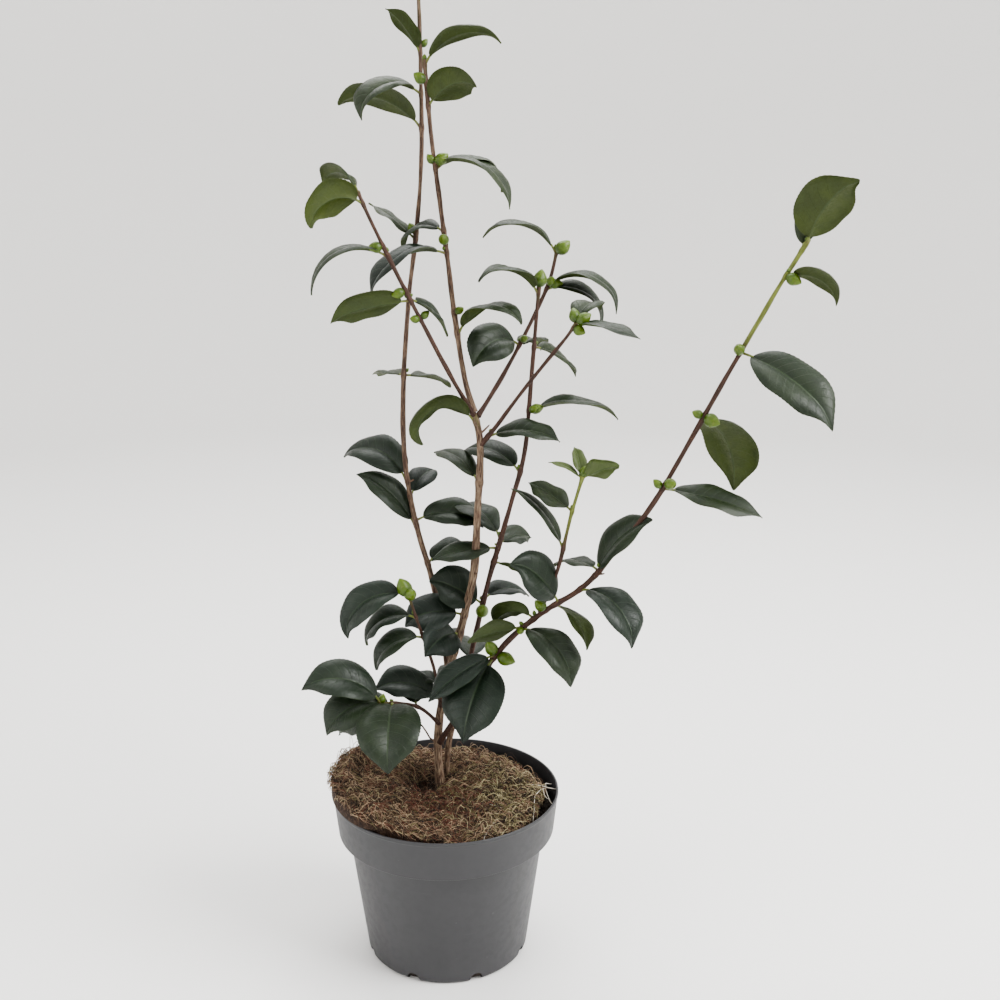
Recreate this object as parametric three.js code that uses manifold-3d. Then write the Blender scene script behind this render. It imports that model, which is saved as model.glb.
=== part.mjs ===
// A young camellia shrub in its round nursery pot, with a mat of coconut fibre on the soil.
// Millimetres, +Z up. The origin is the middle of the pot's flat underside,
// +X is the right-hand side seen from the front, and +Y points to the back.

import * as THREE from 'three';
import { mergeVertices } from 'three/addons/utils/BufferGeometryUtils.js';
import Module from 'manifold-3d';

const wasm = await Module();
wasm.setup();

// The gap kept between pieces that touch, and how far a leaf's section is enlarged to cut that gap round it.
const GAP = 0.3;
const LEAF_SWELL = 1.35;

// Pot: a tapered body with a wider collar, on a flat foot.
const POT_HEIGHT = 171;
const RIM_RADIUS = 112.5;
const COLLAR_HEIGHT = 41;
const COLLAR_FOOT_RADIUS = 108;
const BODY_TOP_RADIUS = 98;
const FOOT_RADIUS = 81;
const FOOT_CORNER = 3;
const POT_WALL = 2;
const POT_FLOOR = 3;
const POT_SIDES = 32;
const DRAIN_COUNT = 8;
const DRAIN_WIDTH = 13;
const DRAIN_HEIGHT = 9;
const DRAIN_DEPTH = 14;

// Soil and the fibre mat that lies on it.
const SOIL_TOP = 150;
const MAT_CROWN = 172;
const MAT_EDGE = 163;
const MAT_RINGS = [45, 80];
const MAT_SECTORS = 18;
const MAT_LIFT = 22;
const MAT_EDGE_RADIUS = 100;
const MAT_EDGE_SWELL = 5;
const MAT_SWELL_HEADING = 190;
const MAT_LUMP = 2.5;
const ROLL_RADIUS = 101;
const ROLL_HALF_WIDTH = 12;
const ROLL_HEIGHT = 18;
const ROLL_HEADINGS = [138, 236];

// Limbs: sides of a tube, length of a step along it, and the flare at a stem's foot.
const LIMB_SIDES = 6;
const LIMB_STEP = 52;
const FLARE = 2.2;
const FLARE_REACH = 14;

// Leaves: the pad that stands for each one, and the sleeve that joins a spray to its limb.
const LEAF_SIDES = 3;
const LEAF_STEPS = 4;
const LEAF_SUBSTEPS = 6;
const LEAF_KEEL = 1.6;
const LEAF_FOOT_DEPTH = -1.6;
const PETIOLE_SHARE = 0.1;
const SLEEVE_WALL = 1.6;
const SLEEVE_BEFORE = 6;
const SLEEVE_AFTER = 7;
const SLEEVE_STEP = 60;
const BUD_LENGTH = 11;

const BARK = { color: 0x8a6648, roughness: 0.75 };
const DARK_BARK = { color: 0x5b3826, roughness: 0.7 };
const GREEN_BARK = { color: 0x6f6a3a, roughness: 0.6 };
const LEAF = { color: 0x33482a, roughness: 0.4 };
const PLASTIC = { color: 0x4f5054, roughness: 0.55 };
const SOIL = { color: 0x2c2019, roughness: 0.95 };
const FIBRE = { color: 0x9c7f58, roughness: 0.95 };

// The camera that took the photo: where it stands, how far it looks down in degrees, its focal
// length in pixels, and the pixel in the middle of its square frame.
const CAMERA = { x: 54, y: -1187, z: 787, pitch: 15, focal: 1301, middle: 500 };

// Each limb: its thickness at foot and tip in millimetres, its bark, and the few points it bends
// through. A point is [across, down, depth]: its pixel in the photo, read by eye, and how far it
// lies behind the pot's axis in millimetres, judged from what hides what.
const LIMBS = {
  main_stem: {
    feet: [8.6, 6.6], bark: BARK, flared: true,
    seen: [[441, 798, 24], [438, 735, 24], [444, 692, 22], [473, 578, 18], [477, 520, 18], [480, 440, 20],
      [474, 412, 20]],
  },
  second_stem: {
    feet: [6.4, 3.4], bark: DARK_BARK, flared: true,
    seen: [[446, 794, 34], [449, 742, 34], [463, 690, 34], [486, 590, 28], [512, 500, 22], [524, 455, 22],
      [532, 370, 28], [539, 285, 30]],
  },
  tall_stem: {
    feet: [6, 3.2], bark: BARK,
    seen: [[449, 680, 25], [440, 615, 38], [430, 572, 44], [418, 532, 48], [406, 470, 50], [403, 400, 53],
      [409, 297, 54], [416, 235, 52], [421, 165, 48], [421, 80, 42], [416, -70, 33]],
  },
  long_bough: {
    feet: [5.8, 3.6], bark: DARK_BARK,
    seen: [[440, 742, 22], [462, 708, 4], [482, 674, -10], [512, 637, -22], [548, 609, -30], [583, 587, -36],
      [615, 552, -42], [652, 505, -48], [720, 388, -58], [777, 290, -60], [810, 238, -58]],
  },
  leader: {
    feet: [5.2, 3.4], bark: BARK,
    seen: [[474, 412, 20], [465, 380, 22], [456, 325, 25], [443, 225, 25], [430, 125, 18], [424, 57, 12]],
  },
  left_bough: {
    feet: [4.4, 3], bark: DARK_BARK,
    seen: [[474, 415, 20], [457, 387, 8], [435, 347, -12], [400, 280, -34], [368, 215, -50], [357, 190, -54]],
  },
  back_bough: {
    feet: [4.2, 3.2], bark: DARK_BARK,
    seen: [[478, 416, 20], [487, 402, 28], [507, 368, 42], [527, 330, 55], [549, 282, 66], [557, 250, 70]],
  },
  front_bough: {
    feet: [4, 3], bark: DARK_BARK,
    seen: [[480, 446, 20], [498, 424, 8], [525, 388, -14], [568, 335, -40], [577, 322, -44]],
  },
  upright_twig: {
    feet: [3.6, 3], bark: GREEN_BARK,
    seen: [[540, 612, -28], [556, 575, -32], [572, 512, -48], [583, 475, -56]],
  },
  low_twig: {
    feet: [3.4, 2.6], bark: DARK_BARK,
    seen: [[441, 706, 20], [435, 672, 6], [417, 620, -14], [408, 595, -20]],
  },
  low_spur: {
    feet: [3.4, 2.6], bark: DARK_BARK,
    seen: [[439, 723, 22], [420, 708, 4], [400, 703, -14], [381, 704, -32]],
  },
};

// The ways a leaf can stand: how far it points up where it leaves its limb, and how far it bends
// down on the way to its tip, in degrees.
const POSES = {
  erect: [75, 40],
  upright: [65, 40],
  overhanging: [65, 100],
  rolled: [60, 170],
  arching: [55, 75],
  ascending: [40, 25],
  curling: [35, 110],
  spreading: [25, 60],
  drooping: [20, 100],
  level: [0, 25],
  hanging: [-10, 45],
  pendent: [-20, 60],
};

// Each mass of leaves: the limb it grows on and its leaves. A leaf is
// [place along the limb, heading, pose, length, width, lean].
// Heading 0 is to the right and 90 to the back. A lean above 0 raises the leaf's left-hand edge,
// seen from its foot. Lengths are in millimetres and angles in degrees.
const MASSES = {
  foliage_tall_tip: ['tall_stem', [[655, 75, 'arching', 65, 30, 0], [685, 15, 'arching', 60, 28, 15],
    [690, 150, 'arching', 62, 28, -15], [690, 270, 'upright', 52, 24, 0]]],
  foliage_tall_top: ['tall_stem', [[540, 180, 'arching', 88, 42, 30], [570, 210, 'curling', 80, 40, -15],
    [605, 210, 'upright', 50, 24, 15]]],
  foliage_tall_high: ['tall_stem', [[440, 165, 'ascending', 56, 26, 0]]],
  foliage_tall_pair: ['tall_stem', [[310, 120, 'level', 62, 30, 0], [310, 30, 'level', 56, 28, 0]]],
  foliage_tall_left: ['tall_stem', [[190, 60, 'arching', 55, 27, 15], [205, 150, 'overhanging', 92, 42, -30]]],
  foliage_tall_low: ['tall_stem', [[120, 30, 'arching', 50, 30, 15], [165, 0, 'spreading', 72, 38, 30],
    [160, 180, 'upright', 80, 38, -30]]],
  foliage_leader_tip: ['leader', [[280, 330, 'arching', 60, 36, -45], [315, 345, 'overhanging', 82, 30, -15]]],
  foliage_leader_high: ['leader', [[225, 15, 'curling', 80, 34, 0], [230, 345, 'drooping', 92, 42, 0]]],
  foliage_leader_middle: ['leader', [[150, 210, 'drooping', 95, 44, 0], [170, 150, 'curling', 58, 30, -15]]],
  foliage_leader_low: ['leader', [[75, 330, 'overhanging', 88, 36, 0]]],
  foliage_left_tip: ['left_bough', [[230, 210, 'curling', 62, 38, 60], [240, 135, 'overhanging', 60, 28, 30]]],
  foliage_left_low: ['left_bough', [[135, 45, 'hanging', 58, 30, 30], [135, 195, 'level', 74, 40, 45],
    [180, 195, 'curling', 90, 38, 0]]],
  foliage_back_tip: ['back_bough', [[140, 0, 'drooping', 76, 34, 15], [145, 345, 'curling', 88, 36, 0],
    [175, 180, 'overhanging', 85, 36, 0]]],
  foliage_back_low: ['back_bough', [[80, 60, 'spreading', 58, 28, 0], [80, 225, 'curling', 70, 42, -45]]],
  foliage_front_tip: ['front_bough', [[165, 330, 'level', 62, 32, 0], [165, 60, 'overhanging', 50, 28, 0]]],
  foliage_front_low: ['front_bough', [[15, 345, 'spreading', 72, 38, 15]]],
  foliage_second_tip: ['second_stem', [[525, 210, 'overhanging', 74, 34, 0]]],
  foliage_second_high: ['second_stem', [[475, 45, 'hanging', 74, 34, 30]]],
  foliage_second_middle: ['second_stem', [[415, 0, 'spreading', 90, 40, 0]]],
  foliage_second_low: ['second_stem', [[355, 150, 'arching', 72, 36, -15]]],
  foliage_second_inner: ['second_stem', [[260, 15, 'hanging', 44, 26, -15], [275, 195, 'level', 66, 34, -15],
    [280, 45, 'spreading', 42, 28, 30], [285, 135, 'overhanging', 76, 38, 0]]],
  foliage_second_foot: ['second_stem', [[150, 90, 'spreading', 75, 36, 0], [215, 195, 'ascending', 60, 44, -60],
    [220, 45, 'spreading', 60, 30, 15]]],
  foliage_main_fork: ['main_stem', [[400, 195, 'rolled', 88, 44, 30]]],
  foliage_main_middle: ['main_stem', [[340, 135, 'arching', 68, 33, 0]]],
  foliage_main_low: ['main_stem', [[165, 105, 'spreading', 70, 34, 0], [185, 240, 'spreading', 58, 40, -45],
    [205, 195, 'spreading', 62, 48, -30]]],
  foliage_main_foot: ['main_stem', [[110, 195, 'arching', 75, 42, -30], [120, 75, 'spreading', 75, 36, 0],
    [125, 150, 'spreading', 56, 28, 0]]],
  foliage_long_tip: ['long_bough', [[580, 345, 'drooping', 58, 34, -30], [605, 60, 'erect', 58, 24, 0],
    [610, 315, 'erect', 74, 50, -45]]],
  foliage_long_high: ['long_bough', [[505, 315, 'hanging', 112, 48, 30]]],
  foliage_long_middle: ['long_bough', [[440, 45, 'pendent', 100, 62, 0]]],
  foliage_long_outer: ['long_bough', [[365, 345, 'level', 92, 40, 15]]],
  foliage_long_inner: ['long_bough', [[265, 135, 'spreading', 58, 28, 0], [260, 345, 'erect', 80, 42, 30]]],
  foliage_long_lower: ['long_bough', [[215, 210, 'upright', 70, 46, -60], [210, 45, 'pendent', 78, 32, 0],
    [240, 315, 'drooping', 90, 46, 0]]],
  foliage_long_near: ['long_bough', [[170, 195, 'level', 54, 32, 60], [170, 315, 'drooping', 88, 44, 0],
    [185, 165, 'curling', 46, 34, 45]]],
  foliage_long_foot: ['long_bough', [[125, 240, 'pendent', 90, 66, 0], [130, 210, 'hanging', 80, 36, -15]]],
  foliage_twig_tip: ['upright_twig', [[110, 150, 'ascending', 50, 30, -15], [145, 105, 'upright', 32, 14, 0],
    [145, 345, 'ascending', 36, 32, -45], [145, 165, 'ascending', 34, 15, 0]]],
  foliage_twig_foot: ['upright_twig', [[70, 165, 'erect', 76, 32, 0]]],
  foliage_low_tip: ['low_twig', [[115, 180, 'drooping', 66, 36, -15], [145, 180, 'drooping', 86, 42, -30]]],
  foliage_low_foot: ['low_twig', [[90, 195, 'drooping', 64, 36, -15]]],
  foliage_low_spur: ['low_spur', [[40, 105, 'spreading', 60, 28, 0], [70, 165, 'hanging', 78, 44, -45],
    [75, 270, 'drooping', 94, 62, 0], [85, 210, 'drooping', 72, 46, -30],
    [90, 195, 'overhanging', 90, 46, -30]]],
};

// Turns a closed three.js geometry into a solid: corners merged, flattened triangles dropped.
function solidFrom(geometry) {
  geometry.deleteAttribute('normal');
  geometry.deleteAttribute('uv');
  const merged = mergeVertices(geometry, 1e-4);
  const corners = merged.index.array;
  const triangles = [];
  for (let i = 0; i < corners.length; i += 3) {
    const [a, b, c] = corners.slice(i, i + 3);
    if (a !== b && b !== c && c !== a) {
      triangles.push(a, b, c);
    }
  }
  const vertProperties = Float32Array.from(merged.attributes.position.array);
  const triVerts = Uint32Array.from(triangles);
  return new wasm.Manifold(new wasm.Mesh({ numProp: 3, vertProperties, triVerts }));
}

// The largest body of a solid that a cut may have left in several.
function largestBody(body) {
  return body.decompose().sort((a, b) => b.volume() - a.volume())[0];
}

function boxesMeet(a, b) {
  const one = a.boundingBox();
  const other = b.boundingBox();
  return [0, 1, 2].every((axis) => one.min[axis] <= other.max[axis] && other.min[axis] <= one.max[axis]);
}

function cutBy(body, others) {
  let left = body;
  for (const other of others) {
    if (boxesMeet(left, other)) {
      left = left.subtract(other);
    }
  }
  return largestBody(left);
}

// A closed tube through stations of { point, tangent, radius }: a cylinder bent along them.
function bentTube(stations, sides) {
  const steps = stations.length - 1;
  const geometry = new THREE.CylinderGeometry(1, 1, 1, sides, steps);
  const position = geometry.attributes.position;
  const back = new THREE.Vector3(0, 1, 0);
  for (let i = 0; i < position.count; i += 1) {
    const { point, tangent, radius } = stations[Math.round((position.getY(i) + 0.5) * steps)];
    const normal = back.clone().addScaledVector(tangent, -back.dot(tangent)).normalize();
    const binormal = tangent.clone().cross(normal);
    const place = point.clone();
    place.addScaledVector(binormal, radius * position.getX(i));
    place.addScaledVector(normal, radius * position.getZ(i));
    position.setXYZ(i, place.x, place.y, place.z);
  }
  return solidFrom(geometry);
}

// The place in millimetres of a point seen in the photo: down the camera's line of sight to its depth.
function fromPhoto([across, down, depth]) {
  const pitch = THREE.MathUtils.degToRad(CAMERA.pitch);
  const right = (across - CAMERA.middle) / CAMERA.focal;
  const up = (CAMERA.middle - down) / CAMERA.focal;
  const reach = (depth - CAMERA.y) / (Math.cos(pitch) + up * Math.sin(pitch));
  const rise = up * Math.cos(pitch) - Math.sin(pitch);
  return new THREE.Vector3(CAMERA.x + reach * right, depth, CAMERA.z + reach * rise);
}

function routeOf(limb) {
  return new THREE.CatmullRomCurve3(limb.seen.map(fromPhoto), false, 'centripetal');
}

// The middle line and thickness of a limb at a distance along it, carried straight on past its tip.
function stationAt(limb, distance, grow) {
  const curve = routeOf(limb);
  const length = curve.getLength();
  const share = THREE.MathUtils.clamp(distance / length, 0, 1);
  const tangent = curve.getTangentAt(share);
  const point = curve.getPointAt(share).addScaledVector(tangent, distance - share * length);
  let radius = THREE.MathUtils.lerp(limb.feet[0], limb.feet[1], share) / 2 + grow;
  if (limb.flared) {
    radius += FLARE * Math.exp(-distance / FLARE_REACH);
  }
  return { point, tangent, radius };
}

function limbSolid(limb, grow = 0) {
  const length = routeOf(limb).getLength();
  const steps = Math.ceil(length / LIMB_STEP);
  const stations = [];
  for (let i = 0; i <= steps; i += 1) {
    stations.push(stationAt(limb, -grow + (length + 2 * grow) * i / steps, grow));
  }
  return bentTube(stations, LIMB_SIDES);
}

// Half the leaf's width at a share of the way along it: a stalk, then an oval blade with a drawn-out tip.
function halfWidthAt(share, width) {
  const along = Math.max(0, (share - PETIOLE_SHARE) / (1 - PETIOLE_SHARE));
  return Math.max(1.4, width / 2 * Math.sin(Math.PI * along ** 0.92) ** 0.8);
}

// Places along a leaf's midrib, each with the directions across and up from the blade.
function midribOf(start, [, heading, pose, length, , lean]) {
  const [rise, droop] = POSES[pose];
  const yaw = THREE.MathUtils.degToRad(heading);
  const level = new THREE.Vector3(Math.cos(yaw), Math.sin(yaw), 0);
  const stations = [];
  const point = start.clone();
  const fine = LEAF_STEPS * LEAF_SUBSTEPS;
  for (let i = 0; i <= fine; i += 1) {
    const pitch = THREE.MathUtils.degToRad(rise - droop * i / fine);
    const along = level.clone().multiplyScalar(Math.cos(pitch)).setZ(Math.sin(pitch));
    const across = new THREE.Vector3(-Math.sin(yaw), Math.cos(yaw), 0);
    across.applyAxisAngle(along, THREE.MathUtils.degToRad(lean));
    if (i % LEAF_SUBSTEPS === 0) {
      stations.push({ point: point.clone(), across, up: along.clone().cross(across) });
    }
    point.addScaledVector(along, length / fine);
  }
  return stations;
}

// Where a leaf leaves its limb: just under the bark, on the side that the leaf points to.
function leafFoot(limb, [place, heading]) {
  const { point, tangent, radius } = stationAt(limb, place, LEAF_FOOT_DEPTH);
  const yaw = THREE.MathUtils.degToRad(heading);
  const outwards = new THREE.Vector3(Math.cos(yaw), Math.sin(yaw), 0);
  outwards.addScaledVector(tangent, -outwards.dot(tangent)).normalize();
  return point.addScaledVector(outwards, radius);
}

// One leaf as a thin pad with a keel: a three-sided sphere stretched along the midrib.
function leafSolid(limb, leaf, swell) {
  const width = leaf[4];
  const midrib = midribOf(leafFoot(limb, leaf), leaf);
  const geometry = new THREE.SphereGeometry(1, LEAF_SIDES, LEAF_STEPS, Math.PI / 6);
  const edge = Math.cos(Math.PI / 6);
  const position = geometry.attributes.position;
  for (let i = 0; i < position.count; i += 1) {
    const polar = Math.acos(THREE.MathUtils.clamp(position.getY(i), -1, 1));
    const step = Math.round(polar / Math.PI * LEAF_STEPS);
    const { point, across, up } = midrib[step];
    const ring = Math.max(Math.sin(polar), 1e-6);
    const inside = step > 0 && step < LEAF_STEPS;
    const side = inside ? swell * halfWidthAt(step / LEAF_STEPS, width) * position.getX(i) / ring / edge : 0;
    const thick = inside ? swell * LEAF_KEEL * position.getZ(i) / ring : 0;
    const spot = point.clone().addScaledVector(across, side).addScaledVector(up, thick);
    if (step === LEAF_STEPS) {
      spot.lerp(midrib[step - 1].point, 1 - swell);
    }
    position.setXYZ(i, spot.x, spot.y, spot.z);
  }
  return solidFrom(geometry);
}

// The sleeve round the limb that the leaves of one mass stand on, closed over the bud at a limb's tip.
function sleeveSolid(limb, leaves, grow) {
  const length = routeOf(limb).getLength();
  const places = leaves.map((leaf) => leaf[0]);
  const start = Math.min(...places) - SLEEVE_BEFORE - grow;
  let end = Math.max(...places) + SLEEVE_AFTER;
  if (end > length - 2 * SLEEVE_AFTER) {
    end = length + BUD_LENGTH;
  }
  const steps = Math.ceil((end - start) / SLEEVE_STEP);
  const stations = [];
  for (let i = 0; i <= steps; i += 1) {
    const station = stationAt(limb, start + (end + grow - start) * i / steps, grow);
    station.radius += i === 0 || i === steps ? SLEEVE_WALL / 2 : SLEEVE_WALL;
    stations.push(station);
  }
  return bentTube(stations, LIMB_SIDES);
}

function massSolid([limbName, leaves], grow = 0, swell = 1) {
  const limb = LIMBS[limbName];
  let body = sleeveSolid(limb, leaves, grow);
  for (const leaf of leaves) {
    body = body.add(leafSolid(limb, leaf, swell));
  }
  return body;
}

function turned(points) {
  const geometry = new THREE.LatheGeometry(points.map(([r, z]) => new THREE.Vector2(r, z)), POT_SIDES);
  geometry.rotateX(Math.PI / 2);
  return solidFrom(geometry);
}

function potSolid() {
  const collarFoot = POT_HEIGHT - COLLAR_HEIGHT;
  let pot = turned([
    [0, 0],
    [FOOT_RADIUS - FOOT_CORNER, 0],
    [FOOT_RADIUS, FOOT_CORNER],
    [BODY_TOP_RADIUS, collarFoot],
    [COLLAR_FOOT_RADIUS, collarFoot],
    [RIM_RADIUS, POT_HEIGHT],
    [RIM_RADIUS - POT_WALL, POT_HEIGHT],
    [COLLAR_FOOT_RADIUS - POT_WALL, collarFoot + POT_WALL],
    [BODY_TOP_RADIUS - POT_WALL, collarFoot + POT_WALL],
    [FOOT_RADIUS - POT_WALL, POT_FLOOR],
    [0, POT_FLOOR],
  ]);
  for (let i = 0; i < DRAIN_COUNT; i += 1) {
    const drain = new THREE.BoxGeometry(DRAIN_DEPTH, DRAIN_WIDTH, DRAIN_HEIGHT * 2);
    drain.translate(FOOT_RADIUS, 0, 0);
    drain.rotateZ(2 * Math.PI * (i + 0.5) / DRAIN_COUNT);
    pot = pot.subtract(solidFrom(drain));
  }
  return pot;
}

// Soil and roots fill the pot to just under its rim.
function rootBallSolid(grow = 0) {
  const ledge = POT_HEIGHT - COLLAR_HEIGHT + POT_WALL;
  const collarSlope = (RIM_RADIUS - COLLAR_FOOT_RADIUS) / COLLAR_HEIGHT;
  const edge = COLLAR_FOOT_RADIUS - POT_WALL - 2 * GAP;
  return turned([
    [0, POT_FLOOR + GAP - grow],
    [FOOT_RADIUS - POT_WALL - 2 * GAP, POT_FLOOR + GAP - grow],
    [BODY_TOP_RADIUS - POT_WALL - 2 * GAP, ledge + GAP],
    [edge, ledge + GAP],
    [edge + collarSlope * (SOIL_TOP - ledge), SOIL_TOP + grow],
    [0, SOIL_TOP + grow],
  ]);
}

// How far the mat reaches in a direction: furthest where it rides up the rim, short of it at the back right.
function matEdgeRadius(heading) {
  const lobes = Math.sin(5 * heading + 1) + 0.6 * Math.sin(9 * heading);
  const swell = Math.cos(heading - THREE.MathUtils.degToRad(MAT_SWELL_HEADING));
  return MAT_EDGE_RADIUS + MAT_EDGE_SWELL * swell + lobes;
}

function matHeight(radius, heading) {
  const share = radius / MAT_EDGE_RADIUS;
  const lump = MAT_LUMP * share * Math.sin(3 * heading + radius / 17) * Math.cos(2 * heading - radius / 23);
  const lift = MAT_LIFT * Math.max(0, Math.cos(heading - THREE.MathUtils.degToRad(MAT_SWELL_HEADING)));
  return MAT_CROWN + (MAT_EDGE + lift - MAT_CROWN) * share ** 2 + lump;
}

// The mat is a mounded disc: a cylinder whose caps are spread over rings of their own.
function matDiscSolid() {
  const rings = [...MAT_RINGS, null];
  const vertices = [[0, 0, MAT_CROWN], [0, 0, SOIL_TOP + GAP]];
  for (const top of [true, false]) {
    for (const ring of rings) {
      for (let k = 0; k < MAT_SECTORS; k += 1) {
        const heading = 2 * Math.PI * k / MAT_SECTORS;
        const radius = ring ?? matEdgeRadius(heading);
        const z = top ? matHeight(radius, heading) : SOIL_TOP + GAP;
        vertices.push([radius * Math.cos(heading), radius * Math.sin(heading), z]);
      }
    }
  }
  const at = (side, ring, k) => 2 + (side * rings.length + ring) * MAT_SECTORS + (k % MAT_SECTORS);
  const last = rings.length - 1;
  const triangles = [];
  for (let k = 0; k < MAT_SECTORS; k += 1) {
    triangles.push(0, at(0, 0, k), at(0, 0, k + 1));
    triangles.push(1, at(1, 0, k + 1), at(1, 0, k));
    for (let ring = 0; ring < last; ring += 1) {
      triangles.push(at(0, ring, k), at(0, ring + 1, k), at(0, ring + 1, k + 1));
      triangles.push(at(0, ring, k), at(0, ring + 1, k + 1), at(0, ring, k + 1));
      triangles.push(at(1, ring, k), at(1, ring + 1, k + 1), at(1, ring + 1, k));
      triangles.push(at(1, ring, k), at(1, ring, k + 1), at(1, ring + 1, k + 1));
    }
    triangles.push(at(0, last, k), at(1, last, k), at(1, last, k + 1));
    triangles.push(at(0, last, k), at(1, last, k + 1), at(0, last, k + 1));
  }
  const geometry = new THREE.BufferGeometry();
  geometry.setAttribute('position', new THREE.Float32BufferAttribute(vertices.flat(), 3));
  geometry.setIndex(triangles);
  return solidFrom(geometry);
}

// The thick edge of the mat that rides over the pot's rim on the left. Its section rises along -X.
function matRollSolid() {
  const [start, end] = ROLL_HEADINGS.map(THREE.MathUtils.degToRad);
  const middle = (start + end) / 2;
  const points = [start, (start + middle) / 2, middle, (middle + end) / 2, end].map((heading) => (
    new THREE.Vector3(ROLL_RADIUS * Math.cos(heading), ROLL_RADIUS * Math.sin(heading), POT_HEIGHT + GAP)));
  const section = new THREE.Shape();
  section.moveTo(0, -ROLL_HALF_WIDTH);
  section.lineTo(-ROLL_HEIGHT * 0.7, -ROLL_HALF_WIDTH * 0.9);
  section.lineTo(-ROLL_HEIGHT, 0);
  section.lineTo(-ROLL_HEIGHT * 0.7, ROLL_HALF_WIDTH * 0.9);
  section.lineTo(0, ROLL_HALF_WIDTH);
  const extrudePath = new THREE.CatmullRomCurve3(points);
  return solidFrom(new THREE.ExtrudeGeometry(section, { steps: 9, extrudePath }));
}

const group = new THREE.Group();

function addPart(name, body, finish) {
  const { vertProperties, triVerts } = body.getMesh();
  const geometry = new THREE.BufferGeometry();
  geometry.setAttribute('position', new THREE.BufferAttribute(vertProperties, 3));
  geometry.setIndex(new THREE.BufferAttribute(triVerts, 1));
  geometry.computeVertexNormals();
  const part = new THREE.Mesh(geometry, new THREE.MeshStandardMaterial({ metalness: 0, ...finish }));
  part.name = name;
  group.add(part);
}

addPart('pot', potSolid(), PLASTIC);
addPart('root_ball', rootBallSolid(), SOIL);

// Limbs are cut by the soil and by the limbs before them, so each bough starts at its parent's bark.
const grownSoil = rootBallSolid(GAP);
const grownLimbs = [];
for (const [name, limb] of Object.entries(LIMBS)) {
  addPart(name, cutBy(limbSolid(limb), [grownSoil, ...grownLimbs]), limb.bark);
  grownLimbs.push(limbSolid(limb, GAP));
}

addPart('fibre_mat', cutBy(matDiscSolid().add(matRollSolid()), grownLimbs), FIBRE);

// Masses are cut by every limb and by the masses before them.
const grownMasses = [];
for (const [name, mass] of Object.entries(MASSES)) {
  addPart(name, cutBy(massSolid(mass), [...grownLimbs, ...grownMasses]), LEAF);
  grownMasses.push(massSolid(mass, GAP, LEAF_SWELL));
}

export default group;
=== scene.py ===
"""Looks of a young camellia in its nursery pot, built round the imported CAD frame.

The file is laid out as an add-on and run as a script. Sizes in the tables are in millimetres.
"""

import math

import bpy
import numpy as np
from bpy.props import FloatProperty, FloatVectorProperty, IntProperty, PointerProperty
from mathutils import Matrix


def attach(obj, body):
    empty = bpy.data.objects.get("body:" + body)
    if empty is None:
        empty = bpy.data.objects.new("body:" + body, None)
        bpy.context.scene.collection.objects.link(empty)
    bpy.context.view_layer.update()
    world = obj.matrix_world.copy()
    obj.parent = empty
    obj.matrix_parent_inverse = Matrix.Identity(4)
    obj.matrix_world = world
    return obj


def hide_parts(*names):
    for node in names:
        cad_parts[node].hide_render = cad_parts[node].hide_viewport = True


bl_info = {
    "name": "Camellia shrub",
    "version": (1, 0, 0),
    "blender": (4, 5, 0),
    "location": "View3D > Sidebar > Shrub",
    "description": "Leaves, bark, buds, fibre mat and pot of a young camellia shrub",
    "category": "Object",
}

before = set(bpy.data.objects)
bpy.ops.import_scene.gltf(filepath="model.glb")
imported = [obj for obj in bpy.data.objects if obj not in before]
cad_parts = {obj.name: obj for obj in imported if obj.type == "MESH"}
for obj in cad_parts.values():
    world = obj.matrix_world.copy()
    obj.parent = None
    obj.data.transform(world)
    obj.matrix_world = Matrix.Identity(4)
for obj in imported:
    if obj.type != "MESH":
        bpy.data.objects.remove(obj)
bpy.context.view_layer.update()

MM = 0.001
BODY = "root"
BAKE_MAP = "OFBake"
GOLDEN_ANGLE = math.radians(137.5)

# The bare margin in each room of the bake map, and the gap between the strips of a long piece, both
# as shares of the room.
ROOM_MARGIN = 0.04
STRIP_GAP = 0.03

# A direction that no limb, stalk or thread follows, from which a tube's first side is taken.
ODD_DIRECTION = (0.3, 1, 0.2)

# What points along its limb, with less than this share of it outwards, stands on the limb's end.
HEAD_ON = 0.2

# The camera that took the photo, which the scene's camera repeats: where it stands, how far it
# looks down in degrees, its focal length in pixels, and the photo's width and height in pixels.
CAMERA_PLACE = (54, -1187, 787)
CAMERA_PITCH = 15
FOCAL = 1301
PHOTO_SIZE = 1000

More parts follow.
